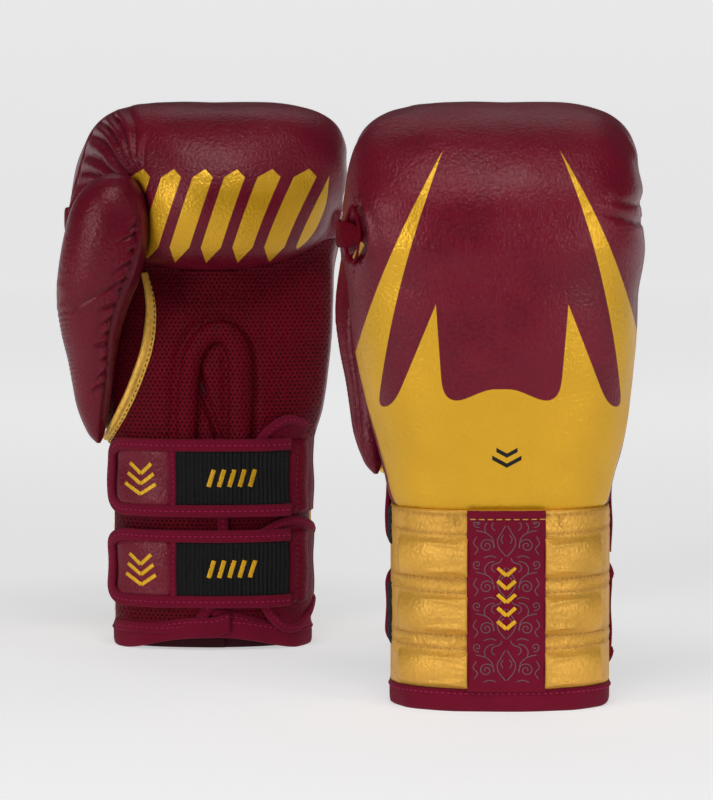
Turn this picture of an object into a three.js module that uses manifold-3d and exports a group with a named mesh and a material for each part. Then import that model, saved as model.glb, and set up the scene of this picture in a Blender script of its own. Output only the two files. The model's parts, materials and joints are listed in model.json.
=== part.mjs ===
// A pair of boxing gloves with two hook-and-loop wrist straps each, standing on their cuffs.
// Units are millimetres, +Z is up, and the origin is at the centre of the pair's footprint.
//
// One glove is modelled in its own frame and used twice. In that frame the fist is up, the back of
// the hand faces -Y, the palm faces +Y and the thumb is on the -X side, which is a right hand.
// The left hand is the same glove mirrored in Y, so that its palm faces -Y.
import * as THREE from 'three';
import { mergeVertices } from 'three/addons/utils/BufferGeometryUtils.js';
import Module from 'manifold-3d';

const wasm = await Module();
wasm.setup();

// ---- Driving dimensions ------------------------------------------------------------------------

const GAP = 0.3; // between faces that touch on the real glove
const LEATHER = 2; // cover, leather and lining fabric together
const CUFF_HEIGHT = 100;
const CUFF_HALF_WIDTH = 54;
const CUFF_HALF_DEPTH = 39;
const CUFF_SQUARENESS = 2.4; // superellipse exponent of the cuff's plan
const CUFF_WALL = 4; // padded cuff panel
const CUFF_STEP = 12; // degrees between the turns of a cuff panel
const HEM_HEIGHT = 12;
const HEM_LIFT = 7; // how far the palm side of the hem rises to the slot
const SEAM_DEPTH = 5; // the side seam between back and palm panels is this far to the palm side
const ROLL_AXIS_DEPTH = 14; // the fist curls round this line, which runs along X
const ROLL_AXIS_HEIGHT = 240;
const ROLL_THUMB_SIDE = 79; // half widths of the fist
const ROLL_THUMB_SIDE_AT_PALM = 48;
const ROLL_LITTLE_SIDE = 68.5;
const ROLL_SQUARENESS = 3.2;
const THUMB_CLEARANCE = 0.6;
const SLOT_HALF_WIDTH = 3; // the palm slot that lets the hand in
const SLOT_TOP = 160;
const STRAP_HEIGHT = 42;
const STRAP_CORNER = 9;
const STRAP_TIP = -57; // x of the strap's rounded end on the thumb side
const STRAP_WEB_START = -20; // x where the leather tip patch meets the elastic webbing
const STRAP_BAR = 43; // x where the webbing goes into the yoke
const STRAP_CENTRES = { upper: 95.3, lower: 45.4 };
const BINDING_WIDTH = 6.5;
const STRIP_LEFT = -17; // woven strip down the middle of the cuff's back
const STRIP_RIGHT = 20.5;

// Places of the two gloves: centre of each cuff.
const RIGHT_GLOVE = { x: 72, y: 0 };
const LEFT_GLOVE = { x: -80, y: 222 };

const COLOURS = {
  burgundy: { color: 0x5c1024, roughness: 0.5, metalness: 0 },
  tape: { color: 0x6a0c2a, roughness: 0.8, metalness: 0 },
  gold: { color: 0xc79a2a, roughness: 0.4, metalness: 0.3 },
  black: { color: 0x0c0c0e, roughness: 0.9, metalness: 0 },
  foam: { color: 0x8d8d90, roughness: 0.95, metalness: 0 },
  lining: { color: 0x2e0914, roughness: 0.7, metalness: 0 },
};

// ---- Solids ------------------------------------------------------------------------------------

// A closed three.js geometry as a manifold-3d solid with its faces pointing out.
function solid(geometry) {
  const plain = new THREE.BufferGeometry();
  const flat = geometry.index ? geometry.toNonIndexed() : geometry;
  plain.setAttribute('position', flat.getAttribute('position'));
  const merged = mergeVertices(plain, 1e-4);
  const vertProperties = new Float32Array(merged.attributes.position.array);
  const triVerts = new Uint32Array(merged.index.array);
  const made = new wasm.Manifold(new wasm.Mesh({ numProp: 3, vertProperties, triVerts }));
  if (made.volume() > 0) return made;
  for (let i = 0; i < triVerts.length; i += 3) {
    [triVerts[i + 1], triVerts[i + 2]] = [triVerts[i + 2], triVerts[i + 1]];
  }
  return new wasm.Manifold(new wasm.Mesh({ numProp: 3, vertProperties, triVerts }));
}

function geometryOf(made) {
  const mesh = made.getMesh();
  const points = new Float32Array(mesh.numVert * 3);
  for (let i = 0; i < mesh.numVert; i++) {
    points.set(mesh.vertProperties.subarray(i * mesh.numProp, i * mesh.numProp + 3), i * 3);
  }
  const geometry = new THREE.BufferGeometry();
  geometry.setAttribute('position', new THREE.BufferAttribute(points, 3));
  geometry.setIndex(new THREE.BufferAttribute(new Uint32Array(mesh.triVerts), 1));
  geometry.computeVertexNormals();
  return geometry;
}

// The largest connected piece of a cut solid, without the crumbs that a cut can leave.
function largest(made) {
  return made.decompose().sort((a, b) => b.volume() - a.volume())[0];
}

function box(x0, x1, y0, y1, z0, z1) {
  const geometry = new THREE.BoxGeometry(x1 - x0, y1 - y0, z1 - z0);
  return solid(geometry.translate((x0 + x1) / 2, (y0 + y1) / 2, (z0 + z1) / 2));
}

// A skin over closed rings of points, each with the same number of points, closed by a fan at both ends.
function skin(rings) {
  const points = [];
  const count = rings[0].length;
  const triangle = (a, b, c) => points.push(a, b, c);
  for (let r = 0; r + 1 < rings.length; r++) {
    for (let i = 0; i < count; i++) {
      const j = (i + 1) % count;
      triangle(rings[r][i], rings[r][j], rings[r + 1][j]);
      triangle(rings[r][i], rings[r + 1][j], rings[r + 1][i]);
    }
  }
  for (const [ring, turn] of [[rings[0], 1], [rings.at(-1), -1]]) {
    const centre = ring.reduce((sum, p) => sum.add(p), new THREE.Vector3()).divideScalar(count);
    for (let i = 0; i < count; i++) {
      const j = (i + 1) % count;
      if (turn > 0) triangle(centre, ring[j], ring[i]);
      else triangle(centre, ring[i], ring[j]);
    }
  }
  return solid(new THREE.BufferGeometry().setFromPoints(points));
}

// A shape drawn in x and z, made into a prism that runs along Y.
function prism(shape, y0, y1) {
  const settings = { depth: y1 - y0, bevelEnabled: false, curveSegments: 3 };
  const geometry = new THREE.ExtrudeGeometry(shape, settings);
  return solid(geometry.rotateX(Math.PI / 2).translate(0, y1, 0));
}

function tube(path, radius, steps, sides) {
  const section = new THREE.Shape().absarc(0, 0, radius, 0, 2 * Math.PI);
  const points = section.getPoints(sides / 2).slice(0, -1); // an arc gives two points for each division
  const settings = { extrudePath: path, steps, bevelEnabled: false };
  return solid(new THREE.ExtrudeGeometry(new THREE.Shape(points), settings));
}

// A smooth function through stations [place, value, value, ...]. It returns the values at a place.
function track(stations) {
  const places = stations.map((s) => s[0]);
  const values = stations.flatMap((s) => s.slice(1));
  const interpolant = new THREE.CubicInterpolant(places, values, stations[0].length - 1);
  return (place) => [...interpolant.evaluate(THREE.MathUtils.clamp(place, places[0], places.at(-1)))];
}

const power = (value, exponent) => Math.sign(value) * Math.abs(value) ** exponent;
const radians = THREE.MathUtils.degToRad;

// ---- Cuff surface ------------------------------------------------------------------------------

// A point on the cuff's plan. Angle 0 is the little-finger side, 90 the palm, 180 the thumb side and 270 the back.
function cuffPoint(angle, offset, z) {
  const a = radians(angle);
  const x = (CUFF_HALF_WIDTH + offset) * power(Math.cos(a), 2 / CUFF_SQUARENESS);
  const y = (CUFF_HALF_DEPTH + offset) * power(Math.sin(a), 2 / CUFF_SQUARENESS);
  return new THREE.Vector3(x, y, z);
}

// The angle at which the cuff's plan has this x, on the palm side or the back.
function cuffAngle(x, onBack) {
  const ratio = THREE.MathUtils.clamp(x / CUFF_HALF_WIDTH, -1, 1);
  const angle = THREE.MathUtils.radToDeg(Math.acos(power(ratio, CUFF_SQUARENESS / 2)));
  return onBack ? 360 - angle : angle;
}

// How far the hem rises at an angle: none at the back, most at the slot.
function hemLift(angle) {
  const reach = THREE.MathUtils.clamp(1 - Math.abs(angle - 90) / 60, 0, 1);
  return HEM_LIFT * reach * reach * (3 - 2 * reach);
}

// A panel that follows the cuff from one angle to another.
// Each level is [z, inner offset, outer offset, share of the hem's rise].
// Every panel turns at the same angles, so that one lies flat on another.
function cuffPanel(from, to, levels) {
  const turns = Array.from({ length: 60 }, (_, i) => CUFF_STEP * i).filter((a) => a > from + 1 && a < to - 1);
  const angles = [from, ...turns, to];
  const steps = angles.length - 1;
  const rings = levels.map(([z, inner, outer, lift = 0]) => {
    const at = (angle, offset) => cuffPoint(angle, offset, z + lift * hemLift(angle % 360));
    return [angles.map((a) => at(a, outer)), angles.map((a) => at(a, inner))];
  });
  const points = [];
  const quad = (a, b, c, d) => points.push(a, b, c, a, c, d);
  const last = rings.length - 1;
  for (let i = 0; i < steps; i++) {
    for (let r = 0; r < last; r++) {
      const [outer, inner] = rings[r];
      const [outerUp, innerUp] = rings[r + 1];
      quad(outer[i], outer[i + 1], outerUp[i + 1], outerUp[i]);
      quad(inner[i + 1], inner[i], innerUp[i], innerUp[i + 1]);
    }
    quad(rings[0][1][i], rings[0][1][i + 1], rings[0][0][i + 1], rings[0][0][i]);
    quad(rings[last][0][i], rings[last][0][i + 1], rings[last][1][i + 1], rings[last][1][i]);
  }
  for (let r = 0; r < last; r++) {
    const [outer, inner] = rings[r];
    const [outerUp, innerUp] = rings[r + 1];
    quad(inner[0], outer[0], outerUp[0], innerUp[0]);
    quad(outer[steps], inner[steps], innerUp[steps], outerUp[steps]);
  }
  return solid(new THREE.BufferGeometry().setFromPoints(points));
}

// ---- Mitt: the hand section, the curled fist and the thumb -------------------------------------

// z, half width on the thumb side and little-finger side, depth to the back and palm, squareness
const hand = track([
  [90, 54, 54, 39, 38.5, 2.4],
  [104, 55, 54.5, 40, 37.5, 2.4],
  [116, 58, 56.5, 43, 36, 2.45],
  [130, 62, 60, 47, 34, 2.5],
  [154, 68, 63.5, 52, 31, 2.6],
  [178, 73, 66, 56.5, 28.5, 2.7],
  [203, 76, 67.5, 59.5, 26, 2.8],
  [245, 79, 68.5, 60, 22, 2.9],
]);
const HAND_LEVELS = [100, 112, 130, 155, 185, 215, 244];
const HAND_SIDES = 18;

function handRing(z, inset) {
  const [thumbSide, littleSide, back, palm, squareness] = hand(z);
  return Array.from({ length: HAND_SIDES }, (_, i) => {
    const a = (2 * Math.PI * i) / HAND_SIDES;
    const across = Math.cos(a) < 0 ? thumbSide - inset : littleSide - inset;
    const deep = Math.sin(a) < 0 ? back - inset : palm - inset;
    const x = across * power(Math.cos(a), 2 / squareness);
    return new THREE.Vector3(x, deep * power(Math.sin(a), 2 / squareness), z);
  });
}

// The palm's outer surface at x and z.
function palmDepth(x, z) {
  const [thumbSide, littleSide, , palm, squareness] = hand(z);
  const across = Math.abs(x) / (x < 0 ? thumbSide : littleSide);
  return palm * (1 - across ** squareness) ** (1 / squareness);
}

// angle round the roll's axis (0 to the palm, 90 up, 180 to the back) and the fist's radius there
const fist = track([
  [-60, 36], [-30, 46], [0, 52], [30, 55], [60, 59], [90, 60], [120, 63],
  [150, 69], [180, 73.5], [210, 64], [240, 44], [270, 28], [300, 36], [330, 46], [360, 52],
]);
const FIST_SIDES = 16;
const FIST_SECTIONS = 8;

// The fist's half width on the thumb side: full at the back, less at the palm, where the thumb lies on it.
function fistThumbSide(angle) {
  const share = (0.5 - 0.5 * Math.cos(radians(angle))) ** 0.6;
  return THREE.MathUtils.lerp(ROLL_THUMB_SIDE_AT_PALM, ROLL_THUMB_SIDE, share);
}

function fistRing(section, inset) {
  const t = radians(-84 + (168 * section) / FIST_SECTIONS);
  const share = power(Math.cos(t), 2 / ROLL_SQUARENESS);
  return Array.from({ length: FIST_SIDES }, (_, i) => {
    const angle = (360 * i) / FIST_SIDES;
    const halfWidth = t < 0 ? fistThumbSide(angle) : ROLL_LITTLE_SIDE;
    const x = (halfWidth - inset) * power(Math.sin(t), 2 / ROLL_SQUARENESS);
    const radius = (fist(angle)[0] - inset) * share;
    const y = ROLL_AXIS_DEPTH + radius * Math.cos(radians(angle));
    const z = ROLL_AXIS_HEIGHT + radius * Math.sin(radians(angle));
    return new THREE.Vector3(x, y, z);
  });
}

// z, centre x and y, half width and half depth of the thumb
const thumb = track([
  [118, -62.5, 20, 4.5, 5.5],
  [130, -64.3, 24, 7.8, 9.5],
  [146, -64.6, 30, 11.2, 13],
  [160, -65.3, 35, 13.5, 16],
  [176, -66, 41, 17, 18.5],
  [190, -64.5, 45, 20, 20],
  [208, -60, 49, 23.3, 21.5],
  [230, -56, 52, 23, 21],
  [250, -52.5, 53.5, 17, 16],
  [260, -50, 53.5, 7, 7.5],
]);
const THUMB_LEVELS = [118, 130, 152, 176, 200, 225, 248, 260];
const THUMB_SIDES = 12;

function thumbSolid(grow) {
  const rings = THUMB_LEVELS.map((level, k) => {
    const [x, y, across, deep] = thumb(level);
    const end = k === 0 ? -1 : k === THUMB_LEVELS.length - 1 ? 1 : 0;
    return Array.from({ length: THUMB_SIDES }, (_, i) => {
      const a = (2 * Math.PI * i) / THUMB_SIDES;
      const out = new THREE.Vector3((across + grow) * Math.cos(a), (deep + grow) * Math.sin(a), end * grow);
      return out.add(new THREE.Vector3(x, y, level));
    });
  });
  return skin(rings);
}

const handSolid = (inset, bottom) => {
  const levels = [bottom, ...HAND_LEVELS.slice(1, -1), HAND_LEVELS.at(-1) - inset];
  return skin(levels.map((z) => handRing(z, inset)));
};
const fistSolid = (inset) => skin(Array.from({ length: FIST_SECTIONS + 1 }, (_, i) => fistRing(i, inset)));

// z, centre depth, half width and half depth of the space for the hand, which narrows towards the fingers
const pocket = track([
  [0, 0, 47, 32],
  [90, 0, 47, 32],
  [112, 2, 46.5, 28],
  [135, 4, 45, 23],
  [165, 5.5, 43, 19],
  [195, 6, 40, 15.5],
  [210, 6, 34, 12],
]);
const POCKET_LEVELS = [3, 90, 112, 135, 165, 210];
const POCKET_SIDES = 14;

function pocketSolid(grow, bottom) {
  const levels = [bottom, ...POCKET_LEVELS.slice(1, -1), POCKET_LEVELS.at(-1) + grow];
  return skin(levels.map((z) => {
    const [depth, across, deep] = pocket(z);
    return Array.from({ length: POCKET_SIDES }, (_, i) => {
      const a = (2 * Math.PI * i) / POCKET_SIDES;
      const x = (across + grow) * power(Math.cos(a), 2 / CUFF_SQUARENESS);
      return new THREE.Vector3(x, depth + (deep + grow) * power(Math.sin(a), 2 / CUFF_SQUARENESS), z);
    });
  }));
}

// ---- The pieces of one glove -------------------------------------------------------------------

const slotCut = box(-SLOT_HALF_WIDTH, SLOT_HALF_WIDTH, 5, 90, -10, SLOT_TOP);

function mittPieces() {
  const outer = handSolid(0, CUFF_HEIGHT + GAP).add(fistSolid(0)).subtract(thumbSolid(THUMB_CLEARANCE));
  const hollow = handSolid(LEATHER, CUFF_HEIGHT - 5).add(fistSolid(LEATHER));
  const cover = outer.subtract(hollow.subtract(thumbSolid(THUMB_CLEARANCE + LEATHER)));
  const palmSide = (start) => box(-90, 90, start, 90, CUFF_HEIGHT - 5, 226);
  const backCover = cover.subtract(palmSide(SEAM_DEPTH - GAP).subtract(fistSolid(0)));
  const palmCover = cover.intersect(palmSide(SEAM_DEPTH).subtract(fistSolid(-GAP))).subtract(slotCut);

  const hem = POCKET_LEVELS[0];
  const lining = pocketSolid(1.5, hem).subtract(pocketSolid(0, hem - 5)).subtract(slotCut);
  const stuffed = handSolid(LEATHER + GAP, CUFF_HEIGHT + GAP).subtract(box(-90, 90, SEAM_DEPTH, 90, 90, 208));
  const bar = { radius: 6, half: 35, depth: 30, height: 221 }; // the grip bar, in a channel that opens downwards
  const gripBar = new THREE.CylinderGeometry(bar.radius, bar.radius, 2 * bar.half, 12).rotateZ(Math.PI / 2);
  const wide = bar.radius + GAP;
  const channel = box(-bar.half - GAP, bar.half + GAP, bar.depth - wide, bar.depth + wide, 195, bar.height + wide);
  const foam = stuffed.add(fistSolid(LEATHER + GAP))
    .subtract(thumbSolid(THUMB_CLEARANCE + LEATHER + GAP))
    .subtract(pocketSolid(1.5 + GAP, 80))
    .subtract(channel);
  return {
    back_cover: [largest(backCover), 'burgundy'],
    palm_cover: [largest(palmCover), 'burgundy'],
    knuckle_foam: [largest(foam), 'foam'],
    hand_lining: [largest(lining), 'lining'],
    grip_bar: [solid(gripBar.translate(0, bar.depth, bar.height)), 'foam'],
  };
}

// Padded rolls round the palm slot, and the gold piping where the thumb's gusset meets the palm.
function palmTrim() {
  const onPalm = (x, z, proud) => new THREE.Vector3(x, palmDepth(x, z) + proud, z);
  const ventRadius = 4;
  const ventProud = ventRadius + 0.6;
  const ventRoute = [
    [-9, 117], [-9.5, 140], [-9, 160], [-4, 172], [5, 175], [13, 168], [15, 155], [14.5, 136], [14, 117],
  ];
  const vent = new THREE.CatmullRomCurve3(ventRoute.map(([x, z]) => onPalm(x, z, ventProud)));
  const pipingRadius = 2.4;
  const pipingRoute = [[-34, 198], [-30.5, 183], [-31, 165], [-36, 147], [-43, 132], [-49, 122]];
  const piping = new THREE.CatmullRomCurve3(pipingRoute.map(([x, z]) => onPalm(x, z, pipingRadius + 0.5)));
  return {
    palm_vent_roll: [tube(vent, ventRadius, 14, 8), 'burgundy'],
    thumb_seam_piping: [tube(piping, pipingRadius, 10, 6), 'gold'],
  };
}

function thumbPieces() {
  const baseHole = box(-64, -61, 18.5, 21.5, 110, 124); // where the stuffing goes in
  return {
    thumb_cover: [largest(thumbSolid(0).subtract(thumbSolid(-LEATHER)).subtract(baseHole)), 'burgundy'],
    thumb_foam: [largest(thumbSolid(-LEATHER - GAP)), 'foam'],
  };
}

function cuffPieces() {
  const top = CUFF_HEIGHT;
  const rib = 4.6; // height of a padded rib above the cuff
  const ribHeight = 18;
  const ribPitch = 27.2;
  const padLevels = [[HEM_HEIGHT + GAP, GAP, 1.4]];
  for (let k = 0; k < 3; k++) {
    const z = HEM_HEIGHT + 0.6 + k * ribPitch;
    padLevels.push([z, GAP, 1.4], [z + 3.5, GAP, rib], [z + ribHeight - 3.5, GAP, rib], [z + ribHeight, GAP, 1.4]);
  }
  padLevels.push([top - 1, GAP, 1.4]);
  const stripFrom = cuffAngle(STRIP_LEFT, true);
  const stripTo = cuffAngle(STRIP_RIGHT, true);
  const levels = (low, high, inner, outer, lift = 0) => [[low, inner, outer, lift], [high, inner, outer, 0]];
  const hemTop = HEM_HEIGHT;
  const slotAngle = 3.4;
  const hem = (from, to) => cuffPanel(from, to, [[0, -CUFF_WALL - 0.8, 1.2, 1], [hemTop, -CUFF_WALL - 0.8, 1.2, 1]]);
  const flap = (from, to) => cuffPanel(from, to, levels(hemTop + GAP, top, -CUFF_WALL, 0, 1));
  return {
    cuff_cover: [cuffPanel(173, 361, levels(hemTop + GAP, top, -CUFF_WALL, 0)), 'gold'],
    cuff_pad_thumb_side: [cuffPanel(189, stripFrom - 0.6, padLevels), 'gold'],
    cuff_pad_little_finger_side: [cuffPanel(stripTo + 0.6, 351, padLevels), 'gold'],
    cuff_centre_strip: [cuffPanel(stripFrom, stripTo, levels(hemTop + GAP, top - 1, GAP, 2.4)), 'tape'],
    cuff_hem_binding: [hem(90 + slotAngle, 450 - slotAngle), 'tape'],
    cuff_flap_thumb_side: [flap(90 + slotAngle, 172.4), 'burgundy'],
    cuff_flap_little_finger_side: [flap(1.6, 90 - slotAngle), 'burgundy'],
  };
}

// ---- Straps ------------------------------------------------------------------------------------

// Offsets from the cuff's surface, one layer on another.
const LAYERS = {
  loop: [GAP, 1.8],
  hook: [2.1, 3.4],
  yoke: [1.0, 3.4],
  band: [3.7, 5.6],
  tape: [3.7, 6.8],
  bar: [3.3, 7.2],
};

function strapLayer([inner, outer], from = 8, to = 168) {
  return cuffPanel(from, to, [[5, inner, outer], [125, inner, outer]]);
}

// A strap outline: square at the yoke, round at the thumb end.
function strapOutline(left, right, low, high, corner) {
  const shape = new THREE.Shape();
  shape.moveTo(right, low);
  shape.lineTo(right, high);
  shape.lineTo(left + corner, high);
  shape.absarc(left + corner, high - corner, corner, Math.PI / 2, Math.PI, false);
  shape.absarc(left + corner, low + corner, corner, Math.PI, 1.5 * Math.PI, false);
  shape.lineTo(right, low);
  return shape;
}

function cutToShape(layer, shape) {
  return layer.intersect(prism(shape, 4, 80));
}

function strapPieces(level, mittGuard) {
  const centre = STRAP_CENTRES[level];
  const low = centre - STRAP_HEIGHT / 2;
  const high = centre + STRAP_HEIGHT / 2;
  const tape = strapLayer(LAYERS.tape);
  const band = strapLayer(LAYERS.band);
  const inset = BINDING_WIDTH + GAP;
  const whole = strapOutline(STRAP_TIP, STRAP_BAR - GAP, low, high, STRAP_CORNER);
  const [insideLow, insideHigh] = [low + BINDING_WIDTH, high - BINDING_WIDTH];
  const inside = strapOutline(STRAP_TIP + BINDING_WIDTH, STRAP_BAR + 5, insideLow, insideHigh, STRAP_CORNER - 5);
  const patch = strapOutline(STRAP_TIP + inset, STRAP_WEB_START, low + inset, high - inset, STRAP_CORNER - 5.5);
  const webbing = strapOutline(STRAP_WEB_START + GAP, STRAP_BAR - GAP, low + inset, high - inset, 0.5);
  const hook = strapOutline(STRAP_TIP + 3, STRAP_WEB_START - 2, low + 3, high - 3, STRAP_CORNER - 3);

  // The yoke fans out behind the webbing to an arched end, and falls away to the side seam.
  const yoke = new THREE.Shape();
  const half = 24.4;
  yoke.moveTo(60, centre - half + 8);
  yoke.lineTo(60, centre + half - 9);
  yoke.quadraticCurveTo(50, centre + half, 40, centre + half);
  yoke.quadraticCurveTo(22, centre + half, 20, centre + 14);
  yoke.lineTo(20, centre - 14);
  yoke.quadraticCurveTo(22, centre - half, 40, centre - half);
  yoke.quadraticCurveTo(50, centre - half, 60, centre - half + 8);
  const bar = strapOutline(STRAP_BAR, STRAP_BAR + 7, low + 1, high - 1, 1);
  const yokeSolid = cutToShape(strapLayer(LAYERS.yoke), yoke).add(cutToShape(strapLayer(LAYERS.bar), bar));

  const pieces = {
    yoke: [yokeSolid.subtract(mittGuard), 'burgundy'],
    binding: [cutToShape(tape, whole).subtract(prism(inside, 0, 90)), 'tape'],
    tip_patch: [cutToShape(band, patch), 'burgundy'],
    webbing: [cutToShape(band, webbing), 'black'],
    hook_patch: [cutToShape(strapLayer(LAYERS.hook), hook), 'black'],
  };
  const named = Object.entries(pieces).map(([name, [made, colour]]) => {
    return [`strap_${level}_${name}`, [largest(made), colour]];
  });
  return Object.fromEntries(named);
}

function loopPatches() {
  const patch = (level) => {
    const centre = STRAP_CENTRES[level];
    const low = centre - 16;
    const high = Math.min(centre + 16, CUFF_HEIGHT - 1);
    return largest(cutToShape(strapLayer(LAYERS.loop, 95, 170), strapOutline(-60, -8, low, high, 3)));
  };
  return { loop_patch_upper: [patch('upper'), 'black'], loop_patch_lower: [patch('lower'), 'black'] };
}

// A short leather tab on the side of the fist, behind the thumb.
function thumbTether() {
  const width = 10;
  const plan = new THREE.Shape();
  plan.moveTo(-79.8, 2);
  plan.quadraticCurveTo(-80.6, 18, -76.6, 31);
  plan.lineTo(-78.4, 31.6);
  plan.quadraticCurveTo(-82.6, 18, -81.6, 2);
  const geometry = new THREE.ExtrudeGeometry(plan, { depth: width, bevelEnabled: false, curveSegments: 3 });
  return { thumb_tether: [solid(geometry.translate(0, 0, 230)), 'burgundy'] };
}

function glovePieces() {
  const mittGuard = handSolid(-0.5, CUFF_HEIGHT + GAP);
  return {
    ...mittPieces(),
    ...palmTrim(),
    ...thumbPieces(),
    ...thumbTether(),
    ...cuffPieces(),
    ...loopPatches(),
    ...strapPieces('upper', mittGuard),
    ...strapPieces('lower', mittGuard),
  };
}

// ---- The pair ----------------------------------------------------------------------------------

const pieces = glovePieces();

function glove(prefix, { x, y }, mirrored) {
  const group = new THREE.Group();
  for (const [name, [made, colour]] of Object.entries(pieces)) {
    const body = mirrored ? made.mirror([0, 1, 0]) : made;
    const mesh = new THREE.Mesh(geometryOf(body), new THREE.MeshStandardMaterial(COLOURS[colour]));
    mesh.name = `${prefix}_${name}`;
    group.add(mesh);
  }
  group.position.set(x, y, 0);
  return group;
}

const gloves = new THREE.Group();
gloves.add(glove('right', RIGHT_GLOVE, false), glove('left', LEFT_GLOVE, true));
const extent = new THREE.Box3().setFromObject(gloves);
const centre = extent.getCenter(new THREE.Vector3());
gloves.position.set(-centre.x, -centre.y, -extent.min.z);

const pair = new THREE.Group();
pair.add(gloves);
export default pair;
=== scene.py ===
# A pair of boxing gloves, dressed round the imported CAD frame.
#
# Shapes are worked out in one glove's own frame, in millimetres: fist up, back of the hand to -Y, palm to +Y
# and thumb to -X. That is the right glove. The left one is the same, mirrored in Y.
import json
import math

import bpy
import numpy as np
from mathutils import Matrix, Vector


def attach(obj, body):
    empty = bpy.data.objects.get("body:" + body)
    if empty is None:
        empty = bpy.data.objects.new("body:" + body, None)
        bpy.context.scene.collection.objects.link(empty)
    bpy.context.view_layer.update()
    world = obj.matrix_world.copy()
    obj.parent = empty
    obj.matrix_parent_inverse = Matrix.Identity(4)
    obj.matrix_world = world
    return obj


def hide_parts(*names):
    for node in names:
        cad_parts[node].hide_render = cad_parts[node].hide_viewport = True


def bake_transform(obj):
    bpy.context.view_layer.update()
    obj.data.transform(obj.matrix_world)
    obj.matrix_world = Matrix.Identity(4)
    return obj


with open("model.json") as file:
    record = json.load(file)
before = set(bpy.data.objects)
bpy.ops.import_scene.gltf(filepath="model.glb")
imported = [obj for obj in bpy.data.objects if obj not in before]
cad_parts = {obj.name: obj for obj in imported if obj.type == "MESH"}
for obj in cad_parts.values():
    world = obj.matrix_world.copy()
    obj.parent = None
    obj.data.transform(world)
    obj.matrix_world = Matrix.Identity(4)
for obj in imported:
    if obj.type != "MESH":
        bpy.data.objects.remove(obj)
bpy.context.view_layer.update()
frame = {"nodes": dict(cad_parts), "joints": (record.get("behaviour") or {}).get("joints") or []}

SCENE = bpy.context.scene

# ---- Dimensions, in millimetres in the glove's own frame ---------------------------------------------

HINGE = (55.744, 7.965)  # x and y of the straps' hinge
SIDE_SEAM, PALM_SEAM = -12.0, 5.0  # y of the seams between back, side and palm panels
MITT_FOOT = 92.0  # the mitt's skin goes down into the cuff as far as this
AXIS_Y, AXIS_Z = 14.0, 240.0  # the axis that the fist is rolled round
NET_STEP = 1.6
PLEAT_X, PLEAT_Z = -33.0, 256.0  # where the gathers of the roll's thumb end meet
THUMB_SEAM = 38  # degrees round the thumb's section, from +x towards the palm
THUMB_WRINKLES = 13
TETHER_Z = 235.0
OPENING_FOOT, OPENING_HEIGHT = 221.5, 28.0  # the opening that the thumb's tether comes out of
ARCH = [(-12.5, 108), (-12.5, 128), (-11.5, 148), (-8.5, 163), (-1.5, 172.5), (8, 174), (15, 166),
        (16.8, 150), (16.5, 130), (16, 108)]
PIPING = [(-36, 207), (-33.2, 195), (-32.3, 183), (-34.6, 165), (-41.4, 145), (-48.2, 130), (-57, 114)]

CUFF_X, CUFF_Y, CUFF_POWER = 54, 39, 2 / 2.4  # the cuff's half axes, and how square it is
HEM_TOP, SEAM_Z = 12.0, 100.0
RIBS = [(66.9, 86.0), (38.9, 57.4), (11.6, 29.6)]
STRIP = (-17.0, 20.5)
PAD_ROWS = [(97.3, 4.0), (88.0, 2.6), (65.2, 2.6), (59.0, 3.6), (37.2, 2.6), (31.2, 3.6)]  # height, pitch
PAD_STEP, PAD_UNDER = 0.9, 0.1
ROW_SAG = 0.9  # how far the rows of stitches rise towards the cuff's sides

STRAPS = {"upper": 95.3, "lower": 45.4}  # heights of the straps' middles
STRAP_HALF = 21.3
TIP_X, WEB_X, BAR_X = -56.5, -21.5, 42.5
YOKE = {
    "upper": {
        "top": [(25, 19.5), (31, 26.5), (40, 32.5), (48, 30.5), (54.6, 24.0)],
        "bottom": [(25, -19), (40, -20.8), (54.6, -20.5)],
    },
    "lower": {
        "top": [(25, 18.5), (32, 22.8), (42, 27.2), (49, 25.2), (54.6, 19.5)],
        "bottom": [(27, -18), (31, -26), (38, -34.0), (46, -35.0), (51, -30), (54.6, -22)],
    },
}

CLOTH_SCALE = 0.02  # metres in the simulation for each millimetre of cloth
CLOTH_FRAMES = 20

# Colours, linear
BURGUNDY = (0.132, 0.0026, 0.0140)
# A darker copy of the burgundy, painted shade: for the palm pieces, which lie in the roll's shadow, and for
# the tether's tab and the rim round its opening, to darken the slit.
BURGUNDY_SHADED = (0.115, 0.0015, 0.0085)
TAPE = (0.180, 0.0020, 0.0210)
PRINT_GOLD = (0.735, 0.395, 0.014)
PIPE_GOLD = (0.950, 0.540, 0.090)
CUFF_GOLD = (0.700, 0.368, 0.055)
BLACK = (0.0075, 0.0070, 0.0080)

# ---- Camera, light and floor, in metres --------------------------------------------------------------

CAMERA_PLACE = (0.012, -2.111, 0.2995)
CAMERA_DOWN = 4.236  # degrees below level
CAMERA_LENS = 180.5
LIGHTS = [  # name, place, target, width, height and power
    ("top", (0.0, -1.3, 1.9), (0, 0, 0.1), 1.0, 0.5, 17),
    ("key", (-1.5, -1.6, 0.55), (0, 0, 0.15), 0.42, 0.95, 16),
    ("fill", (1.5, -1.6, 0.5), (0, 0, 0.15), 0.42, 0.9, 14),
    ("rim", (0.0, 1.3, 1.9), (0, 0, 0.2), 1.6, 0.6, 3),
]
FLOOR_HALF, FLOOR_FRONT, FLOOR_BACK, FLOOR_TOP, FLOOR_BEND = 6.0, -4.0, 6.0, 3.5, 1.5


def add_object(name, data):
    obj = bpy.data.objects.new(name, data)
    SCENE.collection.objects.link(obj)
    return obj


def add_camera():
    data = bpy.data.cameras.new("camera")
    data.sensor_width = 36
    data.lens = CAMERA_LENS
    data.clip_end = 20
    camera = add_object("camera", data)
    camera.location = CAMERA_PLACE
    camera.rotation_euler = (math.radians(90 - CAMERA_DOWN), 0, 0)
    SCENE.camera = camera


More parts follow.
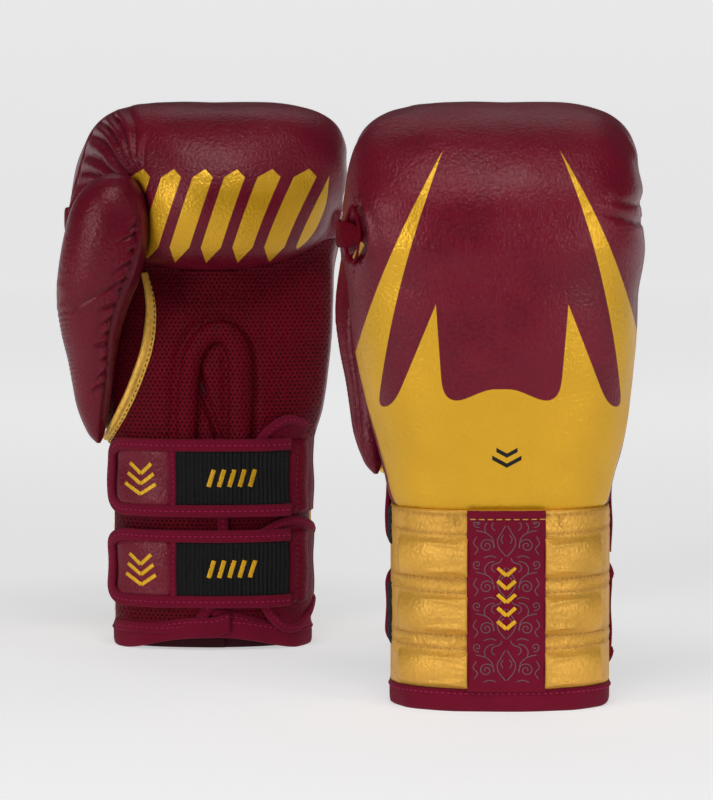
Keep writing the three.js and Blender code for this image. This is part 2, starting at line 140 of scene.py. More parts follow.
def add_light(name, place, target, width, height, power):
    data = bpy.data.lights.new(name, "AREA")
    data.shape = "RECTANGLE"
    data.size = width
    data.size_y = height
    data.energy = power
    light = add_object(name, data)
    light.location = place
    light.rotation_euler = (Vector(target) - Vector(place)).to_track_quat("-Z", "Y").to_euler()


def add_studio():
    world = bpy.data.worlds.new("studio")
    SCENE.world = world
    world.use_nodes = True
    back = world.node_tree.nodes["Background"]
    back.inputs["Color"].default_value = (0.95, 0.97, 1.0, 1)
    back.inputs["Strength"].default_value = 0.09
    for light in LIGHTS:
        add_light(*light)
    SCENE.view_settings.view_transform = "Standard"
    SCENE.view_settings.look = "None"


def add_floor():
    """A sheet of paper that bends up at the back."""
    bend = np.linspace(0, math.pi / 2, 16)
    profile = [(FLOOR_FRONT, 0.0)]
    profile += [(FLOOR_BACK + FLOOR_BEND * (math.sin(a) - 1), FLOOR_BEND * (1 - math.cos(a))) for a in bend]
    profile += [(FLOOR_BACK, FLOOR_TOP)]
    points = [(x, y, z) for y, z in profile for x in (-FLOOR_HALF, FLOOR_HALF)]
    faces = [(2 * i, 2 * i + 1, 2 * i + 3, 2 * i + 2) for i in range(len(profile) - 1)]
    mesh = bpy.data.meshes.new("floor")
    mesh.from_pydata(points, [], faces)
    mesh.shade_smooth()
    mesh.materials.append(floor_paper())
    floor = add_object("floor", mesh)


def floor_paper():
    """White paper, with light of its own that makes up for the lamps' falling off with distance."""
    shader = Shader("floor_paper", coords="object")
    lit = shader.ramp(shader.y, -1300.0, -500.0) * (1.0 - shader.ramp(shader.z, 700.0, 1400.0))
    far = shader.ramp(shader.y + shader.z, 100.0, 2000.0)
    shader.set("Base Color", shader.mix(lit, (0.20, 0.20, 0.20), (0.55, 0.54, 0.55)))
    shader.set("Roughness", 0.8)
    shader.set("Specular IOR Level", 0.1)
    shader.set("Emission Color", (1.0, 1.0, 1.0))
    shader.set("Emission Strength", (far * 0.17 + 0.51) * lit)
    return shader.material


# ---- Node trees --------------------------------------------------------------------------------------

class Term:
    """A number that a node tree works out, with the usual arithmetic."""

    def __init__(self, shader, socket):
        self.shader, self.socket = shader, socket

    def __add__(self, other):
        return self.shader.math("ADD", self, other)

    def __sub__(self, other):
        return self.shader.math("SUBTRACT", self, other)

    def __rsub__(self, other):
        return self.shader.math("SUBTRACT", other, self)

    def __mul__(self, other):
        return self.shader.math("MULTIPLY", self, other)

    def __abs__(self):
        return self.shader.math("ABSOLUTE", self)


class Shader:
    """A material with short ways to add nodes. Its coordinates are millimetres in the glove's own frame."""

    def __init__(self, name, coords="glove"):
        self.material = bpy.data.materials.new(name)
        self.material.use_nodes = True
        self.tree = self.material.node_tree
        self.surface = self.tree.nodes["Principled BSDF"]
        if coords == "glove":
            attribute = self.node("Attribute")
            attribute.attribute_name = "glove"
            self.place = attribute.outputs["Vector"]
        else:
            self.place = self.vector("MULTIPLY", self.node("TexCoord").outputs["Object"], (1000, 1000, 1000))
        split = self.node("SeparateXYZ", {"Vector": self.place})
        self.x, self.y, self.z = (Term(self, socket) for socket in split.outputs)

    def put(self, socket, value):
        if isinstance(value, Term):
            value = value.socket
        if isinstance(value, bpy.types.NodeSocket):
            self.tree.links.new(value, socket)
        elif isinstance(value, tuple) and len(socket.default_value) == 4:
            socket.default_value = (*value, 1)
        else:
            socket.default_value = value

    def node(self, kind, inputs=None):
        node = self.tree.nodes.new(f"ShaderNode{kind}")
        for name, value in (inputs or {}).items():
            self.put(node.inputs[name], value)
        return node

    def set(self, name, value):
        self.put(self.surface.inputs[name], value)

    def math(self, operation, *values):
        node = self.node("Math")
        node.operation = operation
        for socket, value in zip(node.inputs, values):
            self.put(socket, value)
        return Term(self, node.outputs[0])

    def least(self, first, *others):
        for other in others:
            first = self.math("MINIMUM", first, other)
        return first

    def vector(self, operation, a, b):
        node = self.node("VectorMath")
        node.operation = operation
        self.put(node.inputs[0], a)
        self.put(node.inputs[1], b)
        return node.outputs[0]

    def noise(self, place, scale, detail=2.0, roughness=0.5, distortion=0.0):
        node = self.node("TexNoise", {"Vector": place, "Scale": scale, "Detail": detail})
        self.put(node.inputs["Roughness"], roughness)
        self.put(node.inputs["Distortion"], distortion)
        return Term(self, node.outputs[0])

    def cells(self, place, scale, feature="F1"):
        node = self.node("TexVoronoi")
        node.feature = feature
        self.put(node.inputs["Vector"], place)
        self.put(node.inputs["Scale"], scale)
        return Term(self, node.outputs["Distance"])

    def mixed(self, kind, share, a, b):
        node = self.node("Mix")
        node.data_type = "RGBA" if kind == "Color" else "FLOAT"
        sockets = {socket.identifier: socket for socket in node.inputs}
        for key, value in (("Factor_Float", share), (f"A_{kind}", a), (f"B_{kind}", b)):
            self.put(sockets[key], value)
        return next(socket for socket in node.outputs if socket.identifier == f"Result_{kind}")

    def mix(self, share, a, b):
        """Colour a with its share of colour b."""
        return self.mixed("Color", share, a, b)

    def lerp(self, share, a, b):
        """Number a with its share of number b."""
        return Term(self, self.mixed("Float", share, a, b))

    def ramp(self, value, low, high):
        """0 below low, 1 above high, and smooth between them."""
        node = self.node("MapRange")
        node.interpolation_type = "SMOOTHSTEP"
        for name, number in (("Value", value), ("From Min", low), ("From Max", high)):
            self.put(node.inputs[name], number)
        return Term(self, node.outputs[0])

    def bump(self, height, millimetres):
        node = self.node("Bump", {"Strength": 1.0, "Distance": millimetres / 1000, "Height": height})
        self.set("Normal", node.outputs[0])


# ---- Materials ---------------------------------------------------------------------------------------

def scaled(colour, amount):
    return tuple(amount * c for c in colour)


def leather_grain(shader):
    """Height of a fine leather grain: rounded cells, pulled into short wrinkles here and there."""
    bend = shader.noise(shader.place, 0.16, 2)
    shift = shader.node("CombineXYZ", {"X": bend, "Y": bend * 2.0, "Z": bend}).outputs[0]
    bent = shader.vector("ADD", shader.place, shift)
    cells = shader.cells(bent, 1 / 1.6, "SMOOTH_F1")
    wrinkle = shader.noise(shader.vector("MULTIPLY", bent, (1.0, 1.0, 0.38)), 0.75, 3, 0.55, 0.6)
    where = shader.ramp(shader.noise(shader.place, 0.028, 1), 0.40, 0.66)
    fine = shader.noise(shader.place, 2.6, 2)
    return fine * 0.22 - cells * 0.7 + wrinkle * (where * 0.9 + 0.4)


def leather(name, colour, roughness=0.33, metallic=0.0, relief=0.36, shine=0.38, uneven=0.45, holes=False,
            mark=None):
    """Leather: mark(shader) may give (share, colour, metallic, roughness) of what is printed on it, or of
    painted shade.
    """
    shader = Shader(name)
    height = leather_grain(shader)
    blotch = shader.ramp(shader.noise(shader.place, 0.035, 3), 0.3, 0.75)
    # Painted light and shade on the grain: the colour is darker in its hollows and lighter on its tops.
    grain_light_and_shade = shader.mix(shader.ramp(height, -0.3, 0.35), scaled(colour, 0.62), scaled(colour, 1.3))
    # uneven is the share of this painted light and shade in the leather's colour.
    base = shader.mix(uneven, shader.mix(blotch, scaled(colour, 0.78), colour), grain_light_and_shade)
    rough = shader.noise(shader.place, 0.5, 3) * 0.16 + (roughness - 0.08)
    sheen = tuple(0.6 + 0.4 * c / max(colour) for c in colour)
    if mark:
        share, ink, ink_metal, ink_rough = mark(shader)
        base = shader.mix(share, base, ink)
        rough = shader.lerp(share, rough, ink_rough)
        metallic = shader.lerp(share, metallic, ink_metal)
        sheen = shader.mix(share, sheen, (1.0, 1.0, 1.0))
    if holes:
        hole = hole_pattern(shader)
        # Painted shade: the perforations are coloured near black, for the shade inside each hole.
        base = shader.mix(hole, base, (0.012, 0.001, 0.002))
        height = height - hole * 2.2
    shader.set("Base Color", base)
    shader.set("Roughness", rough)
    shader.set("Metallic", metallic)
    shader.set("Specular IOR Level", shine)
    shader.set("Specular Tint", sheen)
    shader.bump(height, relief)
    return shader.material


def pad_seam_painted_shade(shader):
    """Painted shade: the gold leather is coloured browner where the stitching pulls it in, and along the
    seams, for the shade in those grooves.
    """
    level = shader.z - shader.x * shader.x * (ROW_SAG / CUFF_X ** 2)
    away = shader.least(*(abs(level - row) for row, _ in PAD_ROWS))
    patchy = shader.noise(shader.place, 0.35, 3) * 0.9
    # Browner colour along the rows of stitches, with a patchy strength: painted shade in the grooves.
    return (1.0 - shader.ramp(away, 0.3, 2.4)) * patchy, (0.42, 0.19, 0.025), 0.2, 0.5


def hole_pattern(shader, pitch=2.5, radius=0.42):
    """1 inside each hole of a staggered pattern of perforations in x and z."""
    row = 2 * 0.866 * pitch
    away = []
    for shift in (40.0, 40.5):
        across = (shader.math("FRACT", shader.x * (1 / pitch) + shift) - 0.5) * pitch
        up = (shader.math("FRACT", shader.z * (1 / row) + shift) - 0.5) * row
        away.append(shader.math("SQRT", across * across + up * up))
    return 1.0 - shader.ramp(shader.least(*away), radius - 0.16, radius + 0.16)


def back_print(shader):
    """The gold blocks on the back and over the fist's front, as plain tapered shapes."""
    across = abs(shader.x + 1.2)
    rise = (shader.z - 155.0) * (1 / 121.0)
    inner = 59.5 - rise * 14.0 - rise * rise * 17.0
    outer = 76.1 - rise * 23.9 - rise * rise * 23.6
    long_ray = shader.least(across - inner, outer - across)
    short_inner = (shader.z - 165.0) * 0.075 + 29.4
    short_outer = (202.0 - shader.z) * 0.40 + 32.2
    short_ray = shader.least(across - short_inner, short_outer - across)
    base = 160.5 - shader.ramp(across, 3.0, 25.0) * 6.5 - shader.ramp(across, 36.0, 46.0) * 5.5
    joined = shader.math("SMOOTH_MAX", base - shader.z, short_ray, 15.0)
    joined = shader.math("SMOOTH_MAX", joined, long_ray, 8.0)
    back = shader.least(joined, SIDE_SEAM - 0.4 - shader.y)
    share = shader.ramp(shader.math("MAXIMUM", back, roll_band(shader)), -0.12, 0.12)
    patchy = shader.mix(shader.noise(shader.place, 0.035, 3), scaled(PRINT_GOLD, 0.84), PRINT_GOLD)
    return share, shader.mix(small_mark(shader), patchy, (0.006, 0.006, 0.006)), 0.40, 0.33


def roll_band(shader, pitch=17.0):
    """A row of slanted tapering bars on the front of the fist: positive inside them."""
    slant = shader.x - (shader.z - 236.0) * 0.34
    off = abs(shader.math("FRACT", slant * (1 / pitch) + 10.12) - 0.5) * pitch
    top = 264.0 - off * 0.8 - shader.z
    low = shader.z - (off * 1.6 + 213.0)
    sides = 62.0 - abs(shader.x - 14.0)
    return shader.least(5.4 - off, top, sides, low, shader.y - 40.0)


def chevron(shader, x0, z0, half, slope, thick):
    """Positive inside a V that opens upwards, with its point at x0, z0."""
    off = abs(shader.x - x0)
    return shader.least(thick - abs(shader.z - z0 - off * slope), half - off)


def small_mark(shader):
    """Two small stacked chevrons on the back, near the cuff."""
    pair = [chevron(shader, 1.7, z0, half, 0.55, 1.1) for z0, half in ((122.5, 7.2), (127.5, 5.2))]
    return shader.ramp(shader.least(shader.math("MAXIMUM", *pair), -20.0 - shader.y), -0.1, 0.1)


def cloth(name, colour, scale=1.0, relief=0.12, roughness=0.85, sheen=0.04):
    """Woven tape: fine threads both ways, with some unevenness of colour."""
    shader = Shader(name)
    turns = 2 * math.pi / (0.8 * scale)
    weave = shader.math("SINE", (shader.x + shader.y) * turns) * shader.math("SINE", shader.z * turns)
    fuzz = shader.noise(shader.place, 1.4, 3)
    blotch = shader.ramp(shader.noise(shader.place, 0.06, 2), 0.3, 0.7)
    base = shader.mix(blotch, scaled(colour, 0.78), colour)
    shader.set("Base Color", shader.mix(shader.ramp(weave, -0.6, 0.9), scaled(colour, 0.8), base))
    shader.set("Roughness", fuzz * 0.15 + (roughness - 0.08))
    shader.set("Sheen Weight", sheen)
    shader.set("Sheen Roughness", 0.5)
    shader.set("Specular IOR Level", 0.14)
    shader.bump(fuzz * 0.8 + weave * 0.5, relief)
    return shader.material


def foam_material():
    shader = Shader("foam", coords="object")
    pores = shader.cells(shader.place, 0.7)
    shader.set("Base Color", shader.mix(pores, (0.162, 0.162, 0.168), (0.27, 0.27, 0.28)))
    shader.set("Roughness", 0.95)
    shader.bump(pores, 0.3)
    return shader.material


def hand_lining_material():
    shader = Shader("hand_lining", coords="object")
    fuzz = shader.noise(shader.place, 1.2, 3)
    shader.set("Base Color", shader.mix(fuzz, (0.022, 0.003, 0.006), (0.045, 0.006, 0.011)))
    shader.set("Roughness", 0.85)
    shader.bump(fuzz, 0.15)
    return shader.material


# ---- Profiles ----------------------------------------------------------------------------------------

def track(stations):
    """A smooth function through rows of (place, value, value, ...). It returns a list of arrays."""
    table = np.array(stations, float)
    places, values = table[:, 0], table[:, 1:]
    slopes = np.gradient(values, places, axis=0)

    def at(query):
        q = np.clip(np.asarray(query, float), places[0], places[-1])
        k = np.clip(np.searchsorted(places, q) - 1, 0, len(places) - 2)
        span = places[k + 1] - places[k]
        t = (q - places[k]) / span
        t2, t3 = t * t, t * t * t
        return [
            (2 * t3 - 3 * t2 + 1) * v[k] + (t3 - 2 * t2 + t) * span * s[k]
            + (3 * t2 - 2 * t3) * v[k + 1] + (t3 - t2) * span * s[k + 1]
            for v, s in zip(values.T, slopes.T)
        ]

    return at


def smooth(value, low, high):
    """0 below low, 1 above high, and smooth between them."""
    t = np.clip((np.asarray(value, float) - low) / (high - low), 0, 1)
    return t * t * (3 - 2 * t)


def bell(value, width):
    return np.exp(-((value / width) ** 2))


def unit(vectors):
    """The same directions, of length one."""
    return vectors / (np.linalg.norm(vectors, axis=-1, keepdims=True) + 1e-9)


# z, half width to the thumb side and little-finger side, depth to the back and palm, squareness
hand = track([
    (86, 50.4, 50.4, 35.4, 35.4, 2.4), (97.5, 51.4, 51.4, 36.4, 36.0, 2.4),
    (101.5, 54.6, 54.4, 39.8, 37.6, 2.4),
    (105, 55.8, 55.2, 41.4, 37.4, 2.4), (116, 58.2, 57.4, 43.8, 36, 2.45),
    (130, 62, 61.2, 47, 34, 2.5), (154, 68, 64.8, 52, 31, 2.6), (178, 73, 67, 56.5, 28.5, 2.7),
    (203, 76, 67.5, 59.5, 26, 2.8), (245, 79, 68.5, 60, 22, 2.9),
])
# degrees round the roll from the palm, and its radius
fist = track([
    (-60, 36), (-30, 46), (0, 52), (30, 55), (60, 59), (90, 60), (120, 63), (150, 69), (180, 73.5),
    (210, 64), (240, 44), (270, 28), (300, 36), (330, 46), (360, 52),
])
# z, centre x and y, half width and half depth
thumb = track([
    (112.5, -62, 19, 1.0, 1.5), (116, -62.8, 19.6, 3.6, 4.4), (122, -63.6, 21.5, 6, 7.2),
    (130, -64.3, 24, 8.2, 10), (146, -64.2, 30, 11.2, 13.2), (160, -64.3, 35, 13.4, 16.2),
    (176, -64.5, 41, 16.6, 18.6), (190, -63, 45, 19.6, 20.2), (208, -58.8, 49, 22.8, 21.6),
    (230, -55, 52, 22.6, 21), (241, -53.8, 53, 21, 19.2), (250, -52.5, 53.5, 17.6, 16.2),
    (256.5, -51, 53.5, 12.6, 12), (260.3, -50, 53.5, 7.4, 7.2), (262, -49.7, 53.5, 2.5, 2.5),
])


def superellipse(u, v, a, b, n):
    """Distance, roughly, from a superellipse with half axes a and b: negative inside."""
    p, q = np.abs(u) / a, np.abs(v) / b
    total = p ** n + q ** n + 1e-9
    slope = total ** (1 / n - 1) * np.hypot(p ** (n - 1) / a, q ** (n - 1) / b) + 1e-6
    return (total ** (1 / n) - 1) / slope


def join(a, b, reach):
    h = np.clip(reach - np.abs(a - b), 0, None) / reach
    return np.minimum(a, b) - h * h * reach / 4


def hand_field(x, y, z):
    thumb_side, little_side, back, palm, squareness = hand(z)
    across = np.where(x < 0, thumb_side, little_side)
    deep = np.where(y < 0, back, palm)
    fade = 0.035 * np.clip(z - 226, 0, None) ** 2
    return superellipse(x, y, across, deep, squareness) + fade


def fist_field(x, y, z):
    angle = np.degrees(np.arctan2(z - AXIS_Z, y - AXIS_Y))
    angle = np.where(angle < -60, angle + 360, angle)
    share = (0.5 - 0.5 * np.cos(np.radians(angle))) ** 0.6
    under = smooth(angle, 250, 300)  # where the angle starts again, the end's shape does too
    across = np.where(x < 0, 48 + 31 * share, 65 + 4.5 * (smooth(angle, -20, 60) - under))
    squareness = 2.3 + 2.0 * smooth(angle, 25, 105) - 1.1 * smooth(angle, 160, 205) - 0.9 * under
    return superellipse(x, np.hypot(y - AXIS_Y, z - AXIS_Z), across, fist(angle)[0], squareness)


def thumb_field(x, y, z):
    cx, cy, a, b = thumb(z)
    p, q = (x - cx) / a, (y - cy) / b
    rho = np.hypot(p, q) + 1e-6
    side = (rho - 1) * rho / (np.hypot(p / a, q / b) + 1e-6)
    return np.maximum(side, np.maximum(z - 262, 112.5 - z))


def mitt_field(x, y, z):
    """The whole mitt without the thumb: hand and fist run together, with a nest for the thumb."""
    reach = 5.0 + 8.5 * smooth(-y, -10, 30)
    body = join(hand_field(x, y, z), fist_field(x, y, z), reach)
    body = -join(-body, thumb_field(x, y, z) - 0.7, 3.0)
    return np.maximum(body, MITT_FOOT - z)


def field_slope(field, points, step=0.35):
    sides = [field(*(points + way).T) - field(*(points - way).T) for way in np.eye(3) * step]
    return np.stack(sides, axis=1) / (2 * step)


def crossings(values, inside, axis, shape):
    """Where the surface crosses the grid's edges along one axis, and the four cells round each edge."""
    first, second = [slice(None)] * 3, [slice(None)] * 3
    first[axis], second[axis] = slice(None, -1), slice(1, None)
    spots = np.argwhere(inside[tuple(first)] != inside[tuple(second)])
    ahead = spots.copy()
    ahead[:, axis] += 1
    a, b = values[tuple(spots.T)], values[tuple(ahead.T)]
    where = spots.astype(float)
    where[:, axis] += a / (a - b)
    corners = []
    for du, dv in ((0, 0), (-1, 0), (-1, -1), (0, -1)):
        cell = spots.copy()
        cell[:, (axis + 1) % 3] += du
        cell[:, (axis + 2) % 3] += dv
        corners.append(cell @ (shape[1] * shape[2], shape[2], 1))
    quad = np.stack(corners, axis=1)
    return where, np.where(inside[tuple(spots.T)][:, None], quad, quad[:, ::-1])


def surface_net(field, low, high, step):
    """Points and quads on the surface where field is zero, facing out of the negative side."""
    axes = [np.arange(a, b + step, step) for a, b in zip(low, high)]
    shape = np.array([len(a) for a in axes])
    values = np.broadcast_to(field(*np.meshgrid(*axes, indexing="ij", sparse=True)), shape)
    found = [crossings(values, values < 0, axis, shape) for axis in range(3)]
    quads = np.concatenate([quad for _, quad in found])
    where = np.concatenate([place for place, _ in found])
    _, index, count = np.unique(quads, return_inverse=True, return_counts=True)
    index = index.reshape(quads.shape)
    sums = [np.bincount(index.ravel(), np.repeat(where[:, k], 4)) for k in range(3)]
    points = np.array(low) + step * np.stack(sums, axis=1) / count[:, None]
    for _ in range(3):
        slope = field_slope(field, points)
        move = field(*points.T)[:, None] * slope / ((slope ** 2).sum(axis=1)[:, None] + 1e-6)
        size = np.linalg.norm(move, axis=1)[:, None] + 1e-9
        points -= move * np.minimum(1, step * 0.6 / size)
    return points, index


# ---- Pieces ------------------------------------------------------------------------------------------

def find_gloves():
    """Where each glove's own frame lies in the row: x, y and 1, or -1 for the mirrored one."""
    places = {}
    for joint in frame["joints"]:
        side, *rest = joint["name"].split("_")
        if rest == ["strap", "upper", "open"]:
            turn = 1 if side == "right" else -1
            x, y = joint["pos_m"][:2]
            places[side] = (x - HINGE[0] / 1000, y - turn * HINGE[1] / 1000, turn)
    return places


GLOVES = find_gloves()


def to_row(points, side):
    x0, y0, turn = GLOVES[side]
    return np.asarray(points, float) * (1, turn, 1) / 1000 + (x0, y0, 0)


def settle(points, side):
    """The padding of each glove's fist has spread a little differently."""
    points = np.array(points, float)
    x, _, z = points.T
    if side == "left":
        x += 6.8 * smooth(z, 212, 280) * smooth(x, 12, 66)
    else:
        x -= 3.5 * smooth(z, 255, 292) * smooth(-x, 20, 66)
    return points


def make(name, shape, material, slot, body="gloves", own=False, hides=(), thickness=0.0, fill=None,
         blend=None):
    """Makes one piece on each glove. With own, it takes the place of the CAD node that has its name."""
    points = np.asarray(shape[0], float)
    faces = np.asarray(shape[1]).tolist() if isinstance(shape[1], np.ndarray) else shape[1]
    nodes = [name, *hides] if own else []
    for side, (_, _, turn) in GLOVES.items():
        mesh = bpy.data.meshes.new(f"{side}_{name}")
        outward = faces if turn > 0 else [f[::-1] for f in faces]
        mesh.from_pydata(to_row(settle(points, side), side).tolist(), [], outward)
        attribute = mesh.attributes.new("glove", "FLOAT_VECTOR", "POINT")
        attribute.data.foreach_set("vector", points.astype(np.float32).ravel())
        mesh.shade_smooth()
        mesh.materials.append(material)
        piece = add_object(f"{side}_{name}", mesh)
        if thickness:
            skin = piece.modifiers.new("thickness", "SOLIDIFY")
            skin.thickness = thickness / 1000
            skin.offset = -1
        rider = body if body == "gloves" else f"{side}_{body}"
        if blend:
            to_row(blend[0], side)
            to_row(blend[1], side)
            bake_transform(piece)
        else:
            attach(piece, rider)
        if nodes:
            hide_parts(*[f"{side}_{n}" for n in nodes])


def grid_faces(rows, columns, loop=False):
    """Quads between the points of a grid. With loop, each row closes on itself."""
    i, j = np.meshgrid(np.arange(rows - 1), np.arange(columns if loop else columns - 1), indexing="ij")
    k = (j + 1) % columns
    corners = [i * columns + j, i * columns + k, (i + 1) * columns + k, (i + 1) * columns + j]
    return np.stack(corners, axis=-1).reshape(-1, 4)


def volume(points, faces):
    """Six times the volume inside the faces: positive if they face out."""
    total = 0.0
    for count in sorted({len(f) for f in faces}):
        corner = points[np.array([f for f in faces if len(f) == count])]
        for k in range(1, count - 1):
            total += (corner[:, 0] * np.cross(corner[:, k], corner[:, k + 1])).sum()
    return total


def facing_out(points, faces):
    return faces if volume(points, faces) > 0 else [f[::-1] for f in faces]


def slab(top, bottom):
    """A closed piece between two grids of points of the same size."""
    rows, columns = top.shape[:2]
    points = np.concatenate([top.reshape(-1, 3), bottom.reshape(-1, 3)])
    half = rows * columns
    faces = grid_faces(rows, columns).tolist()
    faces += [[half + i for i in f[::-1]] for f in grid_faces(rows, columns).tolist()]
    index = np.arange(half).reshape(rows, columns)
    edge = np.concatenate([index[0], index[1:, -1], index[-1, -2::-1], index[-2:0:-1, 0]]).tolist()
    for a, b in zip(edge, edge[1:] + edge[:1]):
        faces.append([b, a, half + a, half + b])
    return points, facing_out(points, faces)


def sweep(rings):
    """A tube with closed ends through rings of points, each with the same number."""
    rings = np.asarray(rings, float)
    count, around = rings.shape[:2]
    points = rings.reshape(-1, 3)
    faces = grid_faces(count, around, loop=True).tolist()
    faces.append(list(range(around))[::-1])
    faces.append([(count - 1) * around + i for i in range(around)])
    return points, facing_out(points, faces)


def rope(path, side, out, profile, scale=1.0):
    """A tube along a path. profile is (across, out), in the directions side and out at each point."""
    profile = np.asarray(profile, float)
    spread = side[:, None] * profile[None, :, :1] + out[:, None] * profile[None, :, 1:]
    return sweep(path[:, None] + scale * spread)


def merged(parts):
    """Several (points, faces) as one."""
    points, faces, start = [], [], 0
    for p, f in parts:
        points.append(p)
        faces += [[start + i for i in face] for face in f]
        start += len(p)
    return np.concatenate(points), faces


def distances(path):
    """How far each point of a path is from its start, along it."""
    return np.concatenate([[0], np.cumsum(np.linalg.norm(np.diff(path, axis=0), axis=1))])


def rows_along(path, step):
    """Points at an even step along a path of points, with the path's ends."""
    path = np.asarray(path, float)
    lengths = distances(path)
    where = np.linspace(0, lengths[-1], max(2, int(round(lengths[-1] / step)) + 1))
    return np.stack([np.interp(where, lengths, column) for column in path.T], axis=1)


def curved(knots, step=1.0):
    """A smooth path through knots."""
    knots = np.asarray(knots, float)
    table = np.column_stack([np.arange(len(knots)), knots])
    fine = np.linspace(0, len(knots) - 1, 16 * len(knots))
    return rows_along(np.stack(track(table)(fine), axis=1), step)


def stitches(points, normals, pitch, length=2.0, width=0.55, height=0.35):
    """A row of raised stitches along a path of points with normals."""
    lengths = distances(points)
    centres = np.arange(pitch / 2, lengths[-1], pitch)

    def at(table, where):
        return np.stack([np.interp(where, lengths, column) for column in table.T], axis=1)

    along = unit(at(points, centres + 0.4) - at(points, centres - 0.4))
    out = unit(at(normals, centres))
    axes = np.stack([along * length / 2, np.cross(along, out) * width / 2, out * height], axis=1)
    template, faces = stitch_shape()
    return merged([(middle + template @ turned, faces) for middle, turned in zip(at(points, centres), axes)])


def stitch_shape():
    """One stitch of length and width 2 and height 1: a six-sided rod with pointed ends."""
    a = np.linspace(0, 2 * np.pi, 6, endpoint=False)
    rings = [np.stack([np.full(6, t), np.cos(a), np.sin(a)], axis=1) for t in (-0.62, 0.62)]
    points = np.concatenate([[(-1, 0, -0.35)], *rings, [(1, 0, -0.35)]])
    faces = [[0, 1 + (i + 1) % 6, 1 + i] for i in range(6)]
    faces += [[1 + i, 1 + (i + 1) % 6, 7 + (i + 1) % 6, 7 + i] for i in range(6)]
    faces += [[13, 7 + i, 7 + (i + 1) % 6] for i in range(6)]
    return points, facing_out(points, faces)


def tape_profile(width, height, count=20, squareness=2.8, dips=()):
    """A flat tape with rounded edges, resting on offset 0. Stitches pull it in at dips: (across, depth)."""
    a = np.linspace(0, 2 * np.pi, count, endpoint=False)
    c, s = np.cos(a), np.sin(a)
    across = width / 2 * np.sign(c) * np.abs(c) ** (2 / squareness)
    out = height / 2 * (1 + np.sign(s) * np.abs(s) ** (2 / squareness))
    for place, depth in dips:
        out -= np.where(s > 0, depth * bell(across - place, 0.7), 0)
    return np.stack([across, out], axis=1)


def half_round(width, height, count=22):
    a = np.linspace(0, 2 * np.pi, count, endpoint=False)
    lift = np.where(np.sin(a) > 0, np.sin(a) * height, np.sin(a) * height * 0.5)
    return np.stack([width / 2 * np.cos(a), lift], axis=1)


# ---- Cloth -------------------------------------------------------------------------------------------

def blow_up(modifier, pressure, growth):
    settings = modifier.settings
    settings.quality = 6
    settings.mass = 0.4
    settings.tension_stiffness = settings.compression_stiffness = 25
    settings.shear_stiffness = 12
    settings.bending_stiffness = 0.6
    settings.use_pressure = True
    settings.uniform_pressure_force = pressure
    settings.shrink_min = settings.shrink_max = -growth
    settings.vertex_group_mass = "held"
    settings.effector_weights.gravity = 0
    modifier.point_cache.frame_start = 1
    modifier.point_cache.frame_end = CLOTH_FRAMES


def puffed(points, faces, held, pressure, growth, limit):
    """Lets a sheet of leather swell, held along its stitches. limit is how far it may move."""
    mesh = bpy.data.meshes.new("sheet")
    mesh.from_pydata((points * CLOTH_SCALE).tolist(), [], faces.tolist())
    sheet = add_object("sheet", mesh)
    sheet.vertex_groups.new(name="held").add(np.flatnonzero(held).tolist(), 1.0, "REPLACE")
    blow_up(sheet.modifiers.new("cloth", "CLOTH"), pressure, growth)
    for step in range(1, CLOTH_FRAMES + 1):
        SCENE.frame_set(step)
    swollen = sheet.evaluated_get(bpy.context.evaluated_depsgraph_get()).data
    moved = np.empty(len(points) * 3)
    swollen.vertices.foreach_get("co", moved)
    move = moved.reshape(-1, 3) / CLOTH_SCALE - points
    far = np.linalg.norm(move, axis=1)[:, None] + 1e-9
    bpy.data.objects.remove(sheet)
    bpy.data.meshes.remove(mesh)
    SCENE.frame_set(1)
    return points + move / far * limit * np.tanh(far / limit)


# ---- The cuff's surface, unrolled --------------------------------------------------------------------

